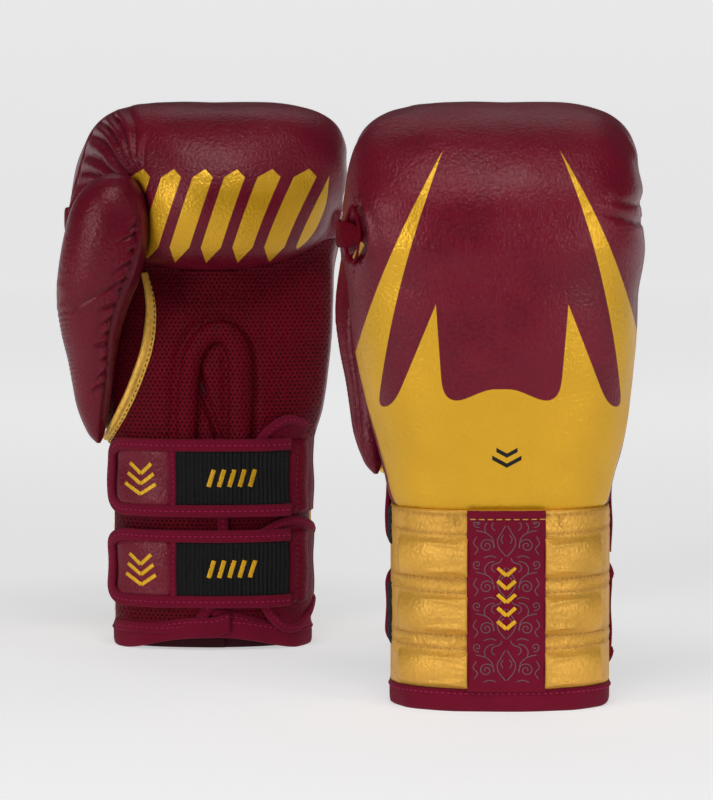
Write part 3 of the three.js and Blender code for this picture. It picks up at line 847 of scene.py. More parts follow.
class Wrap:
    """Turns (along, height, offset) into points on the cuff. Along is zero at the centre and grows with x."""

    def __init__(self, centre, turn):
        self.turns = np.linspace(-179, 179, 6001)
        angles = np.radians(centre + turn * self.turns)
        c, s = np.cos(angles), np.sin(angles)
        self.xs = CUFF_X * np.sign(c) * np.abs(c) ** CUFF_POWER
        self.ys = CUFF_Y * np.sign(s) * np.abs(s) ** CUFF_POWER
        self.centre, self.turn = centre, turn
        self.along = distances(np.stack([self.xs, self.ys], axis=1))
        self.along -= self.along[3000]

    def at_angle(self, angle):
        """Along at an angle: 0 the little-finger side, 90 the palm, 180 the thumb side, 270 the back."""
        turned = ((angle - self.centre) * self.turn + 180) % 360 - 180
        return np.interp(turned, self.turns, self.along)

    def at_x(self, x, offset=0.0):
        """Along where a layer at this offset has this x, within the centre's own side."""
        middle = slice(1500, 4501)
        return np.interp(np.asarray(x) / (1 + offset / CUFF_X), self.xs[middle], self.along[middle])

    def x_at(self, along):
        return np.interp(along, self.along, self.xs)

    def points(self, flat):
        along, height, offset = np.moveaxis(np.asarray(flat, float), -1, 0)
        x = self.x_at(along) * (1 + offset / CUFF_X)
        y = np.interp(along, self.along, self.ys) * (1 + offset / CUFF_Y)
        return np.stack([x, y, height], axis=-1)

    def slab(self, along, z, top, under):
        """A closed sheet between two offsets, over a grid of along and z."""
        layers = [np.stack(np.broadcast_arrays(along, z, offset), axis=-1) for offset in (top, under)]
        return slab(*(self.points(layer) for layer in layers))

    def band(self, path, profile, step=1.2):
        """A tape along a path of (along, height, offset), with a closed profile of (across, out)."""
        path = rows_along(path, step)
        tangent = unit(np.gradient(path[:, :2], axis=0))
        side = np.stack([-tangent[:, 1], tangent[:, 0]], axis=1)
        profile = np.asarray(profile, float)
        rings = np.zeros((len(path), len(profile), 3))
        rings[:, :, :2] = path[:, None, :2] + side[:, None, :] * profile[None, :, :1]
        rings[:, :, 2] = path[:, None, 2] + profile[None, :, 1]
        return sweep(self.points(rings))

    def stitches(self, path, pitch, **sizes):
        path = rows_along(path, 0.8)
        points = self.points(path)
        return stitches(points, self.points(path + (0, 0, 1)) - points, pitch, **sizes)


PALM = Wrap(90, -1)
BACK = Wrap(270, 1)


def grid(start, end, columns, low, high, rows):
    return np.meshgrid(np.linspace(start, end, columns), np.linspace(low, high, rows), indexing="ij")


# ---- Mitt --------------------------------------------------------------------------------------------

def walk_in(points, way):
    """Points walked in from outside, each its own way, until they meet the mitt."""
    for _ in range(60):
        points = points + way * np.clip(mitt_field(*points.T), 0, 2.0)[:, None]
    return points


def pleats(x, y, z):
    """Deep gathers at the roll's thumb end. They fan out from a point above the thumb's tip."""
    reach = np.hypot(x - PLEAT_X, z - PLEAT_Z)
    angle = np.degrees(np.arctan2(z - PLEAT_Z, PLEAT_X - x))
    bent = angle + 5 * np.sin(reach / 7.0) + 3 * np.sin(angle / 9.0)
    folds = np.abs(np.cos(np.pi * bent / 13.5)) ** 0.8
    spread = smooth(angle, -42, -25) * (1 - smooth(angle, 62, 98))
    along = smooth(reach, 5, 14) * (1 - smooth(reach, 34 + 6 * np.cos(np.radians(angle)), 54))
    return 4.2 * (folds - 0.7) * spread * along * smooth(y, 2, 20)


def creases(x, y, z):
    """Small dents at the side of the fist on the little-finger side, and the crease across its back there."""
    across = np.clip((x - 38) / 24, 0, 1)
    on_back = smooth(-y, 5, 20)
    long_crease = -3.2 * across * bell(z - 243.2 - 0.25 * (60 - x), 1.4) * on_back
    short_crease = -1.6 * across ** 2 * bell(z - 251 - 0.1 * (60 - x), 1.2) * on_back
    side = smooth(x, 60, 66) * (1 - smooth(np.abs(z - 258), 13, 22))
    side = side * smooth(-y, -32, -5) * smooth(y, -40, -18)
    ripples = 0.5 * side * np.sin(z * 2 * np.pi / (8.5 + 0.05 * (z - 250)) + 1.2)
    soft = -0.7 * smooth(x, 52, 66) * bell(z - 252, 2.6) * smooth(-y, 0, 18)
    return long_crease + short_crease + ripples + soft


def grooves(x, y, z):
    """Seams: one down each side of the back panel, and one round the palm panel."""
    flank = smooth(np.abs(x), 40, 50)
    end = smooth(z, 96, 106)
    side = -1.2 * bell(y - SIDE_SEAM - 0.16 * (z - 170) * smooth(z, 190, 250), 1.7) * flank * end
    puff = 0.6 * bell(y - SIDE_SEAM + 5, 4.5) * flank * end
    palm = -1.1 * bell(y - PALM_SEAM, 1.7) * flank * (1 - smooth(z, 224, 236))
    return side + puff + palm


def rumple(points, size, seed=0.0):
    """A smooth uneven height of about -1 to 1 at each point."""
    x, y, z = (points / size + seed).T
    a = np.sin(x * 1.7 + 1.3 * np.sin(y * 1.1 + 0.7)) * np.cos(z * 1.3 + 0.9 * np.sin(x * 0.8))
    b = np.sin(y * 1.9 + 1.1 * np.cos(z * 1.6 + 0.4)) * np.cos(x * 0.9 + z * 0.7)
    return 0.5 * (a + b)


def tether_recess(x, y, z):
    """The opening that the thumb's tether comes out of: a drop-shaped hollow with a slit and a lip."""
    t = np.clip((z - OPENING_FOOT) / OPENING_HEIGHT, 0, 1)
    half = 5.6 * np.sqrt(np.clip(np.sin(np.pi * t ** 0.62), 0.0, 1)) + 0.05
    drop = np.maximum(np.abs(x + 73.2 - 2.2 * t) / half, np.abs(z - 235.5) / 14.0)
    inside = 1 - smooth(drop, 0.75, 1.1)
    slit_x = -78.0 + 5.6 * t ** 2.2 + 1.5 * (1 - t) ** 6
    slit = bell(x - slit_x, 1.3) * smooth(z, 221, 225) * (1 - smooth(z, 243, 250))
    lip = 1.1 * bell(drop - 1.35, 0.3) * smooth(x, -84, -76)
    return (-4.4 * inside - 2.4 * slit + lip) * (1 - smooth(y, -14, -4))


def arch_distance(x, z):
    """Distance in the palm's plane from the padded arch's route."""
    near = np.full(np.shape(x), 1e3)
    for px, pz in curved(ARCH, 4.0):
        near = np.minimum(near, np.hypot(x - px, z - pz))
    return near


def palm_relief(x, y, z):
    """The palm panel: a soft channel each side of the padded arch, and the dark fold inside it."""
    on_palm = smooth(y, 8, 18) * (1 - smooth(z, 196, 214))
    channel = -1.3 * bell(arch_distance(x, z) - 8.2, 2.2) * smooth(z, 104, 118)
    slit_x = -8.5 + 0.33 * (157 - z)
    slit = -4.2 * bell(x - slit_x, 2.4) * smooth(z, 100, 116) * (1 - smooth(z, 156, 166))
    return (channel + slit) * on_palm


def mitt_pieces():
    """The mitt's skin as (points, faces) for the back cover and for the palm cover."""
    points, faces = surface_net(mitt_field, (-84, -64, 88), (74, 80, 306), NET_STEP)
    normals = unit(field_slope(mitt_field, points))
    place = points.T
    height = sum(relief(*place) for relief in (pleats, creases, grooves, palm_relief, tether_recess))
    height += (0.3 * rumple(points, 14) + 0.12 * rumple(points, 6, 3.1)) * smooth(place[2], 99, 108)
    points = points + normals * height[:, None]
    middle = points[faces].mean(axis=1)
    kept = middle[:, 2] > MITT_FOOT + 1.5
    palm = palm_panel(*middle.T) < 0
    even_border(points, faces, palm)
    return compact(points, faces[kept & ~palm]), compact(points, faces[kept & palm])


def palm_panel(x, y, z):
    """Negative on the palm panel: below the roll and in front of the side seams."""
    under_roll = hand_field(x, y, z) - fist_field(x, y, z) - 1.0
    return np.maximum(np.maximum(under_roll, PALM_SEAM - y), z - 232)


def even_out(points, edges, moved, passes):
    """Moves some of the points towards the mean of their neighbours, again and again."""
    number = np.bincount(edges.ravel(), minlength=len(points))[:, None]
    for _ in range(passes):
        total = np.zeros_like(points)
        np.add.at(total, edges[:, 0], points[edges[:, 1]])
        np.add.at(total, edges[:, 1], points[edges[:, 0]])
        points[moved] = 0.5 * points[moved] + 0.5 * total[moved] / number[moved]


def even_border(points, faces, chosen):
    """Evens out the line between the chosen faces and the others, then the skin close to it."""
    edges = np.sort(np.stack([faces, np.roll(faces, -1, axis=1)], axis=-1).reshape(-1, 2), axis=1)
    keys, which, uses = np.unique(edges, axis=0, return_inverse=True, return_counts=True)
    inside = np.bincount(which.ravel(), weights=np.repeat(chosen, faces.shape[1]))
    line = keys[(inside == 1) & (uses == 2)]
    on_line = np.bincount(line.ravel(), minlength=len(points)) > 0
    even_out(points, line, on_line, 10)
    close = on_line.copy()
    for _ in range(3):
        close[keys[close[keys].any(axis=1)]] = True
    even_out(points, keys, close & ~on_line, 12)


def compact(points, faces):
    used, inverse = np.unique(faces, return_inverse=True)
    return points[used], inverse.reshape(faces.shape)


# ---- Padded arch, piping and tether ------------------------------------------------------------------

def on_palm_path(knots, step, proud):
    """A path over the palm through (x, z) knots, as points, outward normals and sideways directions."""
    x, z = curved(knots, step).T
    y = walk_in(np.stack([x, np.full(len(x), 84.0), z], axis=1), (0, -1, 0))[:, 1]
    y = np.convolve(np.pad(y, 3, mode="edge"), np.ones(7) / 7, mode="valid")
    points = np.stack([x, y, z], axis=1)
    normals = unit(unit(field_slope(mitt_field, points, 1.5)) * 0.6 + (0, 0.4, 0))
    side = unit(np.cross(unit(np.gradient(points, axis=0)), normals))
    return points + normals * proud, normals, side


def palm_rope(knots, profile, widths, proud, step=1.2):
    """A closed roll over the palm. profile is (across, out), scaled along the route by widths."""
    points, normals, side = on_palm_path(knots, step, proud)
    scale = np.interp(np.linspace(0, 1, len(points)), np.linspace(0, 1, len(widths)), widths)
    return rope(points, side, normals, profile, scale[:, None, None])


def add_arch(material):
    points, faces = palm_rope(ARCH, half_round(12.5, 4.6), [0.92, 0.95, 0.9, 0.95, 1.1, 1.15, 1.1, 1.1], -0.6)
    points[:, 1] += 0.25 * rumple(points, 5)
    make("palm_vent_roll", (points, faces), material, "palm_leather", own=True, fill=0.6)


def add_piping(gold, thread):
    """The gold welt beside the thumb, with the flange that it is sewn in by."""
    welt = [(-1.5 - 1.9 * math.cos(a), 1.5 + 1.7 * math.sin(a)) for a in np.linspace(-2.6, 2.7, 13)]
    flange = [(1.0, 0.9), (2.6, 0.75), (3.1, 0.35), (2.9, -0.5), (0, -0.8)]
    shape = palm_rope(PIPING, welt + flange, [0.55, 0.8, 1, 1, 1, 0.95, 0.8], 0.5, 0.9)
    make("thumb_seam_piping", shape, gold, "gold_leather", own=True)
    line, normals, side = on_palm_path(PIPING, 0.9, 1.25)
    shape = stitches(line + side * 1.9, normals, 3.0, 2.0, 0.7, 0.3)
    make("thumb_seam_stitches", shape, thread, "gold_leather")


def tether_route():
    """The tab's middle line, round the fist's side. Its first end is sunk in the opening."""
    degrees = np.linspace(209, 159, 40)
    away = np.stack([np.cos(np.radians(degrees)), np.sin(np.radians(degrees)), 0 * degrees], axis=1)
    met = walk_in(away * 95.0 + (0, 0, TETHER_Z), -away)
    sunk = 5.0 * (1 - smooth(209 - degrees, 1.0, 11.0))
    return met + away * (1.0 - sunk)[:, None]


def add_tether(material):
    """The tab that ties the thumb to the fist: it comes out of its opening and goes round the fist's side."""
    route = tether_route()
    out = np.cross(unit(np.gradient(route, axis=0)), (0, 0, 1.0))
    out *= np.sign((out * route * (1, 1, 0)).sum(axis=1))[:, None]
    rounded = np.sqrt(1 - np.clip(1 - np.arange(len(route)) / 7.0, 0, 0.97) ** 2)
    upright = rounded[:, None] * (0, 0, 1.0)
    shape = rope(route, upright, out, tape_profile(13.0, 1.9, 26, 2.6))
    make("thumb_tether", shape, material, "cover_leather", own=True)


def on_back(x, z):
    """Points on the mitt's back at x and z, with outward normals."""
    points = walk_in(np.stack([x, np.full(len(x), -84.0), z], axis=1), (0, 1, 0))
    return points, unit(field_slope(mitt_field, points, 1.0))


def add_tether_opening(material, gold):
    """The rolled rim of the tether's opening, and the bar tack at its foot."""
    turn = np.linspace(0, 2 * math.pi, 60)
    x = -73.6 + (4.4 + 0.8 * np.cos(turn)) * np.sin(turn) * np.abs(np.sin(turn / 2)) ** 0.6
    rim, normals = on_back(x, 235.5 + 13.5 * np.cos(turn))
    side = unit(np.cross(np.gradient(rim, axis=0), normals))
    shape = rope(rim, side, normals, half_round(2.2, 1.3, 14))
    make("thumb_tether_opening", shape, material, "cover_leather")
    line, normals = on_back(np.linspace(-68.6, -72.6, 9), np.linspace(231.2, 223.6, 9))
    tack = stitches(line + normals * 0.2, normals, 0.75, 0.7, 3.4, 0.7)
    make("thumb_tether_bar_tack", tack, gold, "gold_leather")


# ---- Thumb -------------------------------------------------------------------------------------------

def thumb_surface():
    even = np.linspace(0, 1, 190)
    z = 112.6 + 149.3 * (0.7 * even + 0.3 * (0.5 - 0.5 * np.cos(np.pi * even)))
    zz, turn = np.meshgrid(z, np.linspace(0, 360, 150, endpoint=False), indexing="ij")
    cx, cy, a, b = thumb(zz)
    c, s = np.cos(np.radians(turn)), np.sin(np.radians(turn))
    height = thumb_relief(zz, turn, np.sqrt(a * b))
    return sweep(np.stack([cx + (a + height) * c, cy + (b + height) * s, zz], axis=-1))


def round_thumb(turn, start, size=None):
    """How far round the thumb from the direction start, in degrees, or in millimetres if size is given."""
    away = (turn - start + 180) % 360 - 180
    return away if size is None else np.radians(away) * size


def thumb_relief(z, turn, size):
    """The seam with the wrinkles that it pulls, a long crease, ripples on the outer side and slight lumps."""
    away = round_thumb(turn, THUMB_SEAM + 8 * np.sin((z - 120) / 40), size)
    ends = smooth(z, 118, 130) * (1 - smooth(z, 240, 252))
    height = -1.5 * bell(away, 0.9) + 0.6 * bell(np.abs(away) - 3.4, 2.2)
    for k in range(THUMB_WRINKLES):
        start = 148 + 7.4 * k + 2.0 * math.sin(3.1 * k)
        length = 10 + 4.5 * math.sin(2.3 * k + 1)
        lean = 0.55 + 0.3 * math.sin(1.7 * k)
        run = smooth(away, -1.5, 1.0) * (1 - smooth(away, 0.35 * length, length))
        line = z - start + lean * away
        height = height + run * (0.9 * bell(line - 2.6, 1.8) - 1.5 * bell(line, 1.0))
    height = height - 1.2 * bell(z - 203 + 0.3 * away + 0.012 * away ** 2, 1.2) * bell(away - 16, 11)
    outer = round_thumb(turn, 152)
    ripple = np.sin(z * 2 * np.pi / (5.6 + 0.9 * np.sin(z / 17)) + 0.05 * outer)
    height = height + 0.55 * ripple * bell(outer, 22) * smooth(z, 142, 158) * (1 - smooth(z, 186, 212))
    height = height - 0.9 * bell(round_thumb(turn, 232, size), 0.9)
    lumps = 0.3 * rumple(np.stack([z, turn * 0.3, size], axis=-1).reshape(-1, 3), 11).reshape(z.shape)
    return height * ends + lumps * smooth(z, 114, 124) * (1 - smooth(z, 250, 258))


# ---- Cuff --------------------------------------------------------------------------------------------

def rib_height(x, z):
    """Height of the padded ribs at x, z on the cuff's back."""
    ends = smooth(x, -53, -47.5) * (1 - smooth(x, 46.5, 52))
    total = 0
    for low, high in RIBS:
        t = np.clip((z - low) / (high - low), 0, 1)
        total = total + 4.8 * ends * (4 * t * (1 - t)) ** 0.36
    return total


def crinkle(x, z):
    """Small creases in the flat strips between the ribs."""
    uneven = 0.6 + 0.8 * np.sin(x * 0.37 + z) * np.sin(x * 0.83 + 2.0 * z + 1.0)
    ripple = np.sin(x * 2.6 + 3.0 * np.sin(z * 0.7 + x * 0.31) + 2.0 * np.sin(x * 0.71))
    deep = 0
    for low, high, amount in ((88.0, 97.0, 0.16), (59.5, 65.0, 0.3), (31.5, 37.0, 0.3)):
        deep = deep + amount * smooth(z, low, low + 1.2) * (1 - smooth(z, high - 1.2, high))
    return deep * ripple * uneven


def row_rise(x):
    return ROW_SAG * np.abs(x / CUFF_X) ** 2


def pad_top(x, z):
    edge = np.minimum(z - HEM_TOP + 1.5, SEAM_Z - 0.3 - z)
    rows = sum(bell(z - row_rise(x) - row, 0.55) for row, _ in PAD_ROWS)
    return 0.9 + rib_height(x, z) + crinkle(x, z) - 0.9 * (1 - smooth(edge, 0, 1.6)) - 0.45 * rows


def pad_sheet(x0, x1):
    """A pad's upper side as a grid of (along, height, offset), swollen between its rows of stitches."""
    start, end, low, high = BACK.at_x(x0), BACK.at_x(x1), HEM_TOP - 1.2, SEAM_Z - 0.4
    columns, rows = int((end - start) / PAD_STEP), int((high - low) / PAD_STEP)
    along, z = grid(start, end, columns, low, high, rows)
    x = BACK.x_at(along)
    flat = np.stack([along, z, pad_top(x, z)], axis=-1)
    to_row_of_stitches = np.min([np.abs(z - row_rise(x) - row) for row, _ in PAD_ROWS], axis=0)
    to_border = np.min([along - start, end - along, z - low, high - z], axis=0)
    held = (np.minimum(to_row_of_stitches, to_border) < PAD_STEP * 0.6).ravel()
    swollen = puffed(flat.reshape(-1, 3), grid_faces(columns, rows), held, 3.0, 0.004, 2.0)
    swollen = swollen.reshape(flat.shape)
    swollen[..., 2] = np.clip(swollen[..., 2], PAD_UNDER + 0.25, None)
    return swollen


def pad_stitches(x0, x1):
    rows = []
    for z, pitch in PAD_ROWS:
        along = np.linspace(BACK.at_x(x0), BACK.at_x(x1), 50)
        x = BACK.x_at(along)
        height = z + row_rise(x)
        path = np.stack([along, height, pad_top(x, height) + 0.22], axis=1)
        rows.append(BACK.stitches(path, pitch, length=pitch * 0.66, width=0.7, height=0.38))
    return merged(rows)


def add_pads(material, thread):
    outer, inner = 2.5, 0.7  # how far the stitches stop from the cuff's side and from the strip
    for name, x0, x1, margins in (
        ("thumb_side", -53.9, STRIP[0] + 0.5, (outer, inner)),
        ("little_finger_side", STRIP[1] - 0.5, 53.9, (inner, outer)),
    ):
        along, z, top = np.moveaxis(pad_sheet(x0, x1), -1, 0)
        shape = BACK.slab(along, z, top, PAD_UNDER)
        make(f"cuff_pad_{name}", shape, material, "gold_leather", own=True, fill=0.8)
        shape = pad_stitches(x0 + margins[0], x1 - margins[1])
        make(f"cuff_pad_stitches_{name}", shape, thread, "gold_leather")


def add_cuff_cover(material, lining):
    """The cuff's back half, from one side seam to the other, under the pads."""
    start, end = BACK.at_angle(162.5), BACK.at_angle(363.5)
    along, z = grid(start, end, 180, HEM_TOP - 3, SEAM_Z - 0.2, 56)
    rounding = 1.2 * (1 - smooth(np.minimum(along - start, end - along), 0, 2.0))
    lumps = 0.25 * np.sin(z * 0.55 + along * 0.11) * smooth(np.abs(along), 52, 62)
    shape = BACK.slab(along, z, 0.35 - rounding + lumps, -2.2)
    make("cuff_cover", shape, material, "gold_leather", own=True)
    shape = BACK.slab(along, z, -2.3, -3.9 + 0.15 * np.sin(z * 0.6 + along * 0.2))
    make("cuff_lining", shape, lining, "lining_fabric")


def rib_wave(z):
    """1 where a rib passes under the strip, 0 between."""
    return sum(smooth(z, low - 2, low + 5) * (1 - smooth(z, high - 5, high + 2)) for low, high in RIBS)


def strip_top(x, z):
    return 2.5 + 0.7 * rib_wave(z) - 0.6 * (1 - smooth(np.minimum(x - STRIP[0], STRIP[1] - x), 0, 0.9))


def add_strip(material, ornament, gold, thread):
    """The tape up the cuff's middle, with its ornament and a column of chevrons."""
    start, end, low, high = *BACK.at_x(STRIP), HEM_TOP - 2, SEAM_Z - 0.3
    along, z = grid(start, end, int((end - start) / 0.7) + 1, low, high, int((high - low) / 0.7) + 1)
    shape = BACK.slab(along, z, strip_top(BACK.x_at(along), z), 0.5)
    make("cuff_centre_strip", shape, material, "binding_tape", own=True)
    middle = sum(STRIP) / 2
    lines, marks = [], []
    for path in ornament_paths():
        for turn in (-1, 1):
            x, z = middle + turn * path[:, 0], path[:, 1]
            flat = np.stack([BACK.at_x(x), z, strip_top(x, z)], axis=1)
            lines.append(BACK.band(flat, [(0.24, 0.0), (0.17, 0.13), (-0.17, 0.13), (-0.24, 0.0)], 0.6))
    make("cuff_strip_ornament", merged(lines), ornament, "binding_tape")
    for z0 in 41.5 + 6.6 * np.arange(5):
        for turn in (-1, 1):
            flat = [(BACK.at_x(middle), z0, 0), (BACK.at_x(middle + turn * 4.2), z0 + 4.0, 0)]
            flat = rows_along(flat, 0.8) + (0, 0, 2.6 + 0.7 * rib_wave(z0))
            marks.append(BACK.band(flat, tape_profile(1.9, 0.35, 12), 0.8))
    make("cuff_strip_marks", merged(marks), gold, "gold_leather")
    path = [(BACK.at_x(x), 95.6, 2.75) for x in np.linspace(STRIP[0] + 1, STRIP[1] - 1, 40)]
    shape = BACK.stitches(path, 4.3, length=3.4, width=0.6, height=0.35)
    make("cuff_strip_stitches", shape, thread, "gold_leather")


def spiral(x0, z0, radius, turns, start, hand_turn):
    t = np.linspace(0, 1, int(26 * turns))
    angle = np.radians(start) + hand_turn * t * turns * 2 * np.pi
    r = radius * (1 - 0.86 * t)
    return np.stack([x0 + r * np.cos(angle), z0 + r * np.sin(angle)], axis=1)


LEAF_AND_SCROLL = [  # lines of (x from the middle, height above the leaf's foot)
    curved([(0.3, 0), (3.4, 4), (4.2, 8), (2.4, 11.5), (0.5, 15)], 0.6),
    curved([(1.6, 6.2), (2.6, 8.4), (1.4, 10.4)], 0.5),
    spiral(9.3, 5.2, 3.6, 1.7, 200, -1),
    curved([(5.9, 4.0), (6.6, 8.5), (9.6, 11.4), (14.2, 12.6)], 0.6),
    curved([(9.8, 11.5), (10.2, 14.6), (8.4, 17.2), (5.6, 18.0)], 0.6),
    spiral(13.6, 16.4, 2.3, 1.3, 250, 1),
    curved([(14.9, 0.8), (13.4, 3.6), (15.4, 6.4), (14.0, 9.6)], 0.6),
    curved([(5.4, 12.6), (6.9, 14.2), (6.2, 16.4), (3.2, 17.6), (2.0, 19.6)], 0.6),
    curved([(4.8, -0.6), (7.6, 0.2), (10.6, -0.8)], 0.6),
]


def ornament_paths():
    """Half of a plain leaf-and-scroll ornament, as lines of (x from the middle, z)."""
    paths = []
    for z0 in 16 + 20.5 * np.arange(4):
        for line in LEAF_AND_SCROLL:
            path = line + (0, z0)
            path = path[(path[:, 1] > 13.2) & (path[:, 1] < 94.2)]
            if len(path) > 3:
                paths.append(path)
    return paths


def hem_shift(angle):
    """How far out and up the hem moves: it is higher on the palm, where the thumb side's end lies on top."""
    lift = 7.0 * float(smooth(1 - abs(angle % 360 - 90) / 60, 0, 1))
    over = 1 - float(smooth(angle, 86, 112))
    return 1.9 * over, lift + 3.5 * (1 - float(smooth(angle, 81, 90)))


def cuff_point(angle, offset, z):
    c, s = math.cos(math.radians(angle)), math.sin(math.radians(angle))
    x = (CUFF_X + offset) * math.copysign(abs(c) ** CUFF_POWER, c)
    y = (CUFF_Y + offset) * math.copysign(abs(s) ** CUFF_POWER, s)
    return (x, y, z)


HEM_PROFILE = [  # offset and height, round the folded tape
    (0.9, 11.6), (1.2, 10.6), (1.3, 6.5), (1.2, 2.4), (0.8, 0.7), (-0.2, 0.05), (-2.2, 0.0), (-3.9, 0.6),
    (-4.7, 2.2), (-4.85, 6.5), (-4.8, 11.0), (-4.1, 11.5), (-3.6, 10.8), (-3.5, 4.0), (-2.0, 3.0),
    (-0.4, 3.2), (0.3, 4.4), (0.5, 11.2),
]


def add_hem(material, thread):
    """A folded tape over the bottom edge, all round. Its ends overlap at the slot in the palm."""
    rings, line, outer = [], [], []
    for angle in np.linspace(82.0, 449.0, 280):
        wave = 0.28 * math.sin(angle * 0.21) + 0.2 * math.sin(angle * 0.083 + 1)
        out, rise = hem_shift(angle)
        rings.append([cuff_point(angle, x + out + wave * (z < 9), z + rise) for x, z in HEM_PROFILE])
        line.append(cuff_point(angle, 1.5 + out, 9.2 + rise))
        outer.append(cuff_point(angle, 2.5 + out, 9.2 + rise))
    make("cuff_hem_binding", sweep(rings), material, "binding_tape", own=True)
    line = np.array(line)
    shape = stitches(line, np.array(outer) - line, 3.0, 2.0, 0.7, 0.4)
    make("cuff_hem_stitches", shape, thread, "binding_tape")


def flap_bottom(name, along):
    """Height of a flap's lower edge, above the hem."""
    if name == "thumb_side":
        return 9.0 + 2.5 * smooth(along, -30, 4) + 12 * smooth(along, -12, 2) ** 2
    return 8.0 + 9.0 * (1 - smooth(along, 2, 44))


def flap_top(out, along, z):
    return out + 0.35 * np.sin(along * 0.12 + z * 0.05)


def flap_edge(name, start, end, out):
    """The route of a flap's edge tape: along the bottom, and up the slot."""
    along = np.linspace(start + 1, end - 3, 40)
    route = np.stack([along, flap_bottom(name, along) + 3.2], axis=1)
    if name == "thumb_side":
        route = np.concatenate([route, [(end - 1.2, z) for z in np.linspace(28, 98, 20)]])
    return np.column_stack([route, flap_top(out, *route.T) - 2.6])


def add_flaps(material, tape, thread, lining):
    """The two palm flaps. The thumb side's lies over the other, with a rounded lower corner."""
    for name, a0, a1, out in (("thumb_side", 164.0, 84.0, 1.1), ("little_finger_side", 90.0, 1.8, 0.0)):
        start, end = PALM.at_angle(a0), PALM.at_angle(a1)
        along, share = grid(start, end, 90, 0, 1, 90)
        low = flap_bottom(name, along)
        z = low + share * (SEAM_Z - 0.4 - low)
        top = flap_top(out, along, z)
        shape = PALM.slab(along, z, top, top - 2.0)
        make(f"cuff_flap_{name}", shape, material, "palm_leather", own=True, fill=0.35)
        shape = PALM.slab(along, 1.5 + share * (SEAM_Z - 1.9), top - 3.1, top - 5.0)
        make(f"cuff_flap_lining_{name}", shape, lining, "lining_fabric")
        path = flap_edge(name, start, end, out)
        shape = PALM.band(path, tape_profile(6.4, 3.6, 26, 3.4))
        make(f"cuff_flap_binding_{name}", shape, tape, "binding_tape")
        shape = PALM.stitches(path + (0, 0, 3.65), 3.0, length=1.9, width=0.55, height=0.3)
        make(f"cuff_flap_stitches_{name}", shape, thread, "binding_tape")


def add_loops(material):
    """Fuzzy patches under the strap tips, wrapping a little way round the thumb side."""
    for level, centre in STRAPS.items():
        low, high = centre - 15.5, min(centre + 15.5, SEAM_Z - 1.5)
        start, end = PALM.at_angle(187), PALM.at_x(-9.0)
        along, z = grid(start, end, 100, low, high, 50)
        edge = np.min([along - start, end - along, z - low, high - z], axis=0)
        fuzz = 0.35 * np.sin(along * 3.1 + 2 * np.sin(z * 2.3)) * np.sin(z * 3.7 + 1.7 * np.sin(along * 1.9))
        side = 1 - smooth(along - start, 8, 16)  # beyond the strap's tip the pile stands up
        top = 1.85 + (0.3 + 1.1 * side) * fuzz - 1.0 * (1 - smooth(edge, 0, 2.0))
        make(f"loop_patch_{level}", PALM.slab(along, z, top, 0.2), material, "loop_fabric", own=True)


# ---- Straps ------------------------------------------------------------------------------------------

def strap_wave(along, z):
    """How far a strap stands off the cuff, so that its edges are not dead level."""
    return 0.35 * np.sin(along * 0.09 + z * 0.21) + 0.2 * np.sin(along * 0.23 + 1.3)


def on_strap(knots, offset, step):
    """A path on the strap through (x, z), as (along, z, offset)."""
    x, z = rows_along(knots, step).T
    along = PALM.at_x(x, offset)
    return np.stack([along, z, offset + strap_wave(along, z)], axis=1)


def rounded_end(left, right, low, high, corner):
    """A path from the right end along the top, round the tip and back along the bottom, in (x, z)."""
    middle = left + corner
    path = [(right, high)]
    for centre, start in ((high - corner, 90), (low + corner, 180)):
        for a in np.radians(np.linspace(start, start + 90, 12)):
            path.append((middle + corner * math.cos(a), centre + corner * math.sin(a)))
    return path + [(right, low)]


def rounded_slab(x0, x1, z0, z1, corner, under, over, step=0.8, crown=0.35, relief=None):
    """A flat piece with rounded corners and edges on the palm side of the cuff."""
    rows, columns = int((z1 - z0) / step) + 1, int((x1 - x0) / step) + 1
    u, v = grid(-1, 1, columns, -1, 1, rows)
    half_x, half_z = (x1 - x0) / 2, (z1 - z0) / 2
    into_corner = np.clip(np.abs(v) * half_z - half_z + corner, 0, None)
    x = (x0 + x1) / 2 + u * (half_x - corner + np.sqrt(np.clip(corner ** 2 - into_corner ** 2, 0, None)))
    z = (z0 + z1) / 2 + v * half_z
    along = PALM.at_x(x, over)
    edge = np.minimum((1 - np.abs(u)) * half_x, (1 - np.abs(v)) * half_z)
    wave = strap_wave(along, z)
    top = over - crown * (1 - smooth(edge, 0, 2.2)) + wave
    if relief is not None:
        top = top + relief(x, z) * smooth(edge, 0.2, 1.2)
    return PALM.slab(along, z, top, under + wave)


def web_ribs(x, z):
    """Ribbed elastic webbing: upright ribs, each of short knitted loops."""
    rib = np.abs(np.sin(np.pi * (x - WEB_X) / 2.3)) ** 0.6
    knit = 0.5 + 0.5 * np.cos(2 * np.pi * (z / 1.9 + 0.5 * np.floor((x - WEB_X) / 2.3)))
    return 0.85 * rib + 0.35 * knit * rib


def bar_channels(x, z):
    """The upright seam where the webbing goes into the yoke has raised channels."""
    return 1.1 * np.abs(np.sin(np.pi * (x - BAR_X) / 5.0)) ** 0.7 + 0 * z


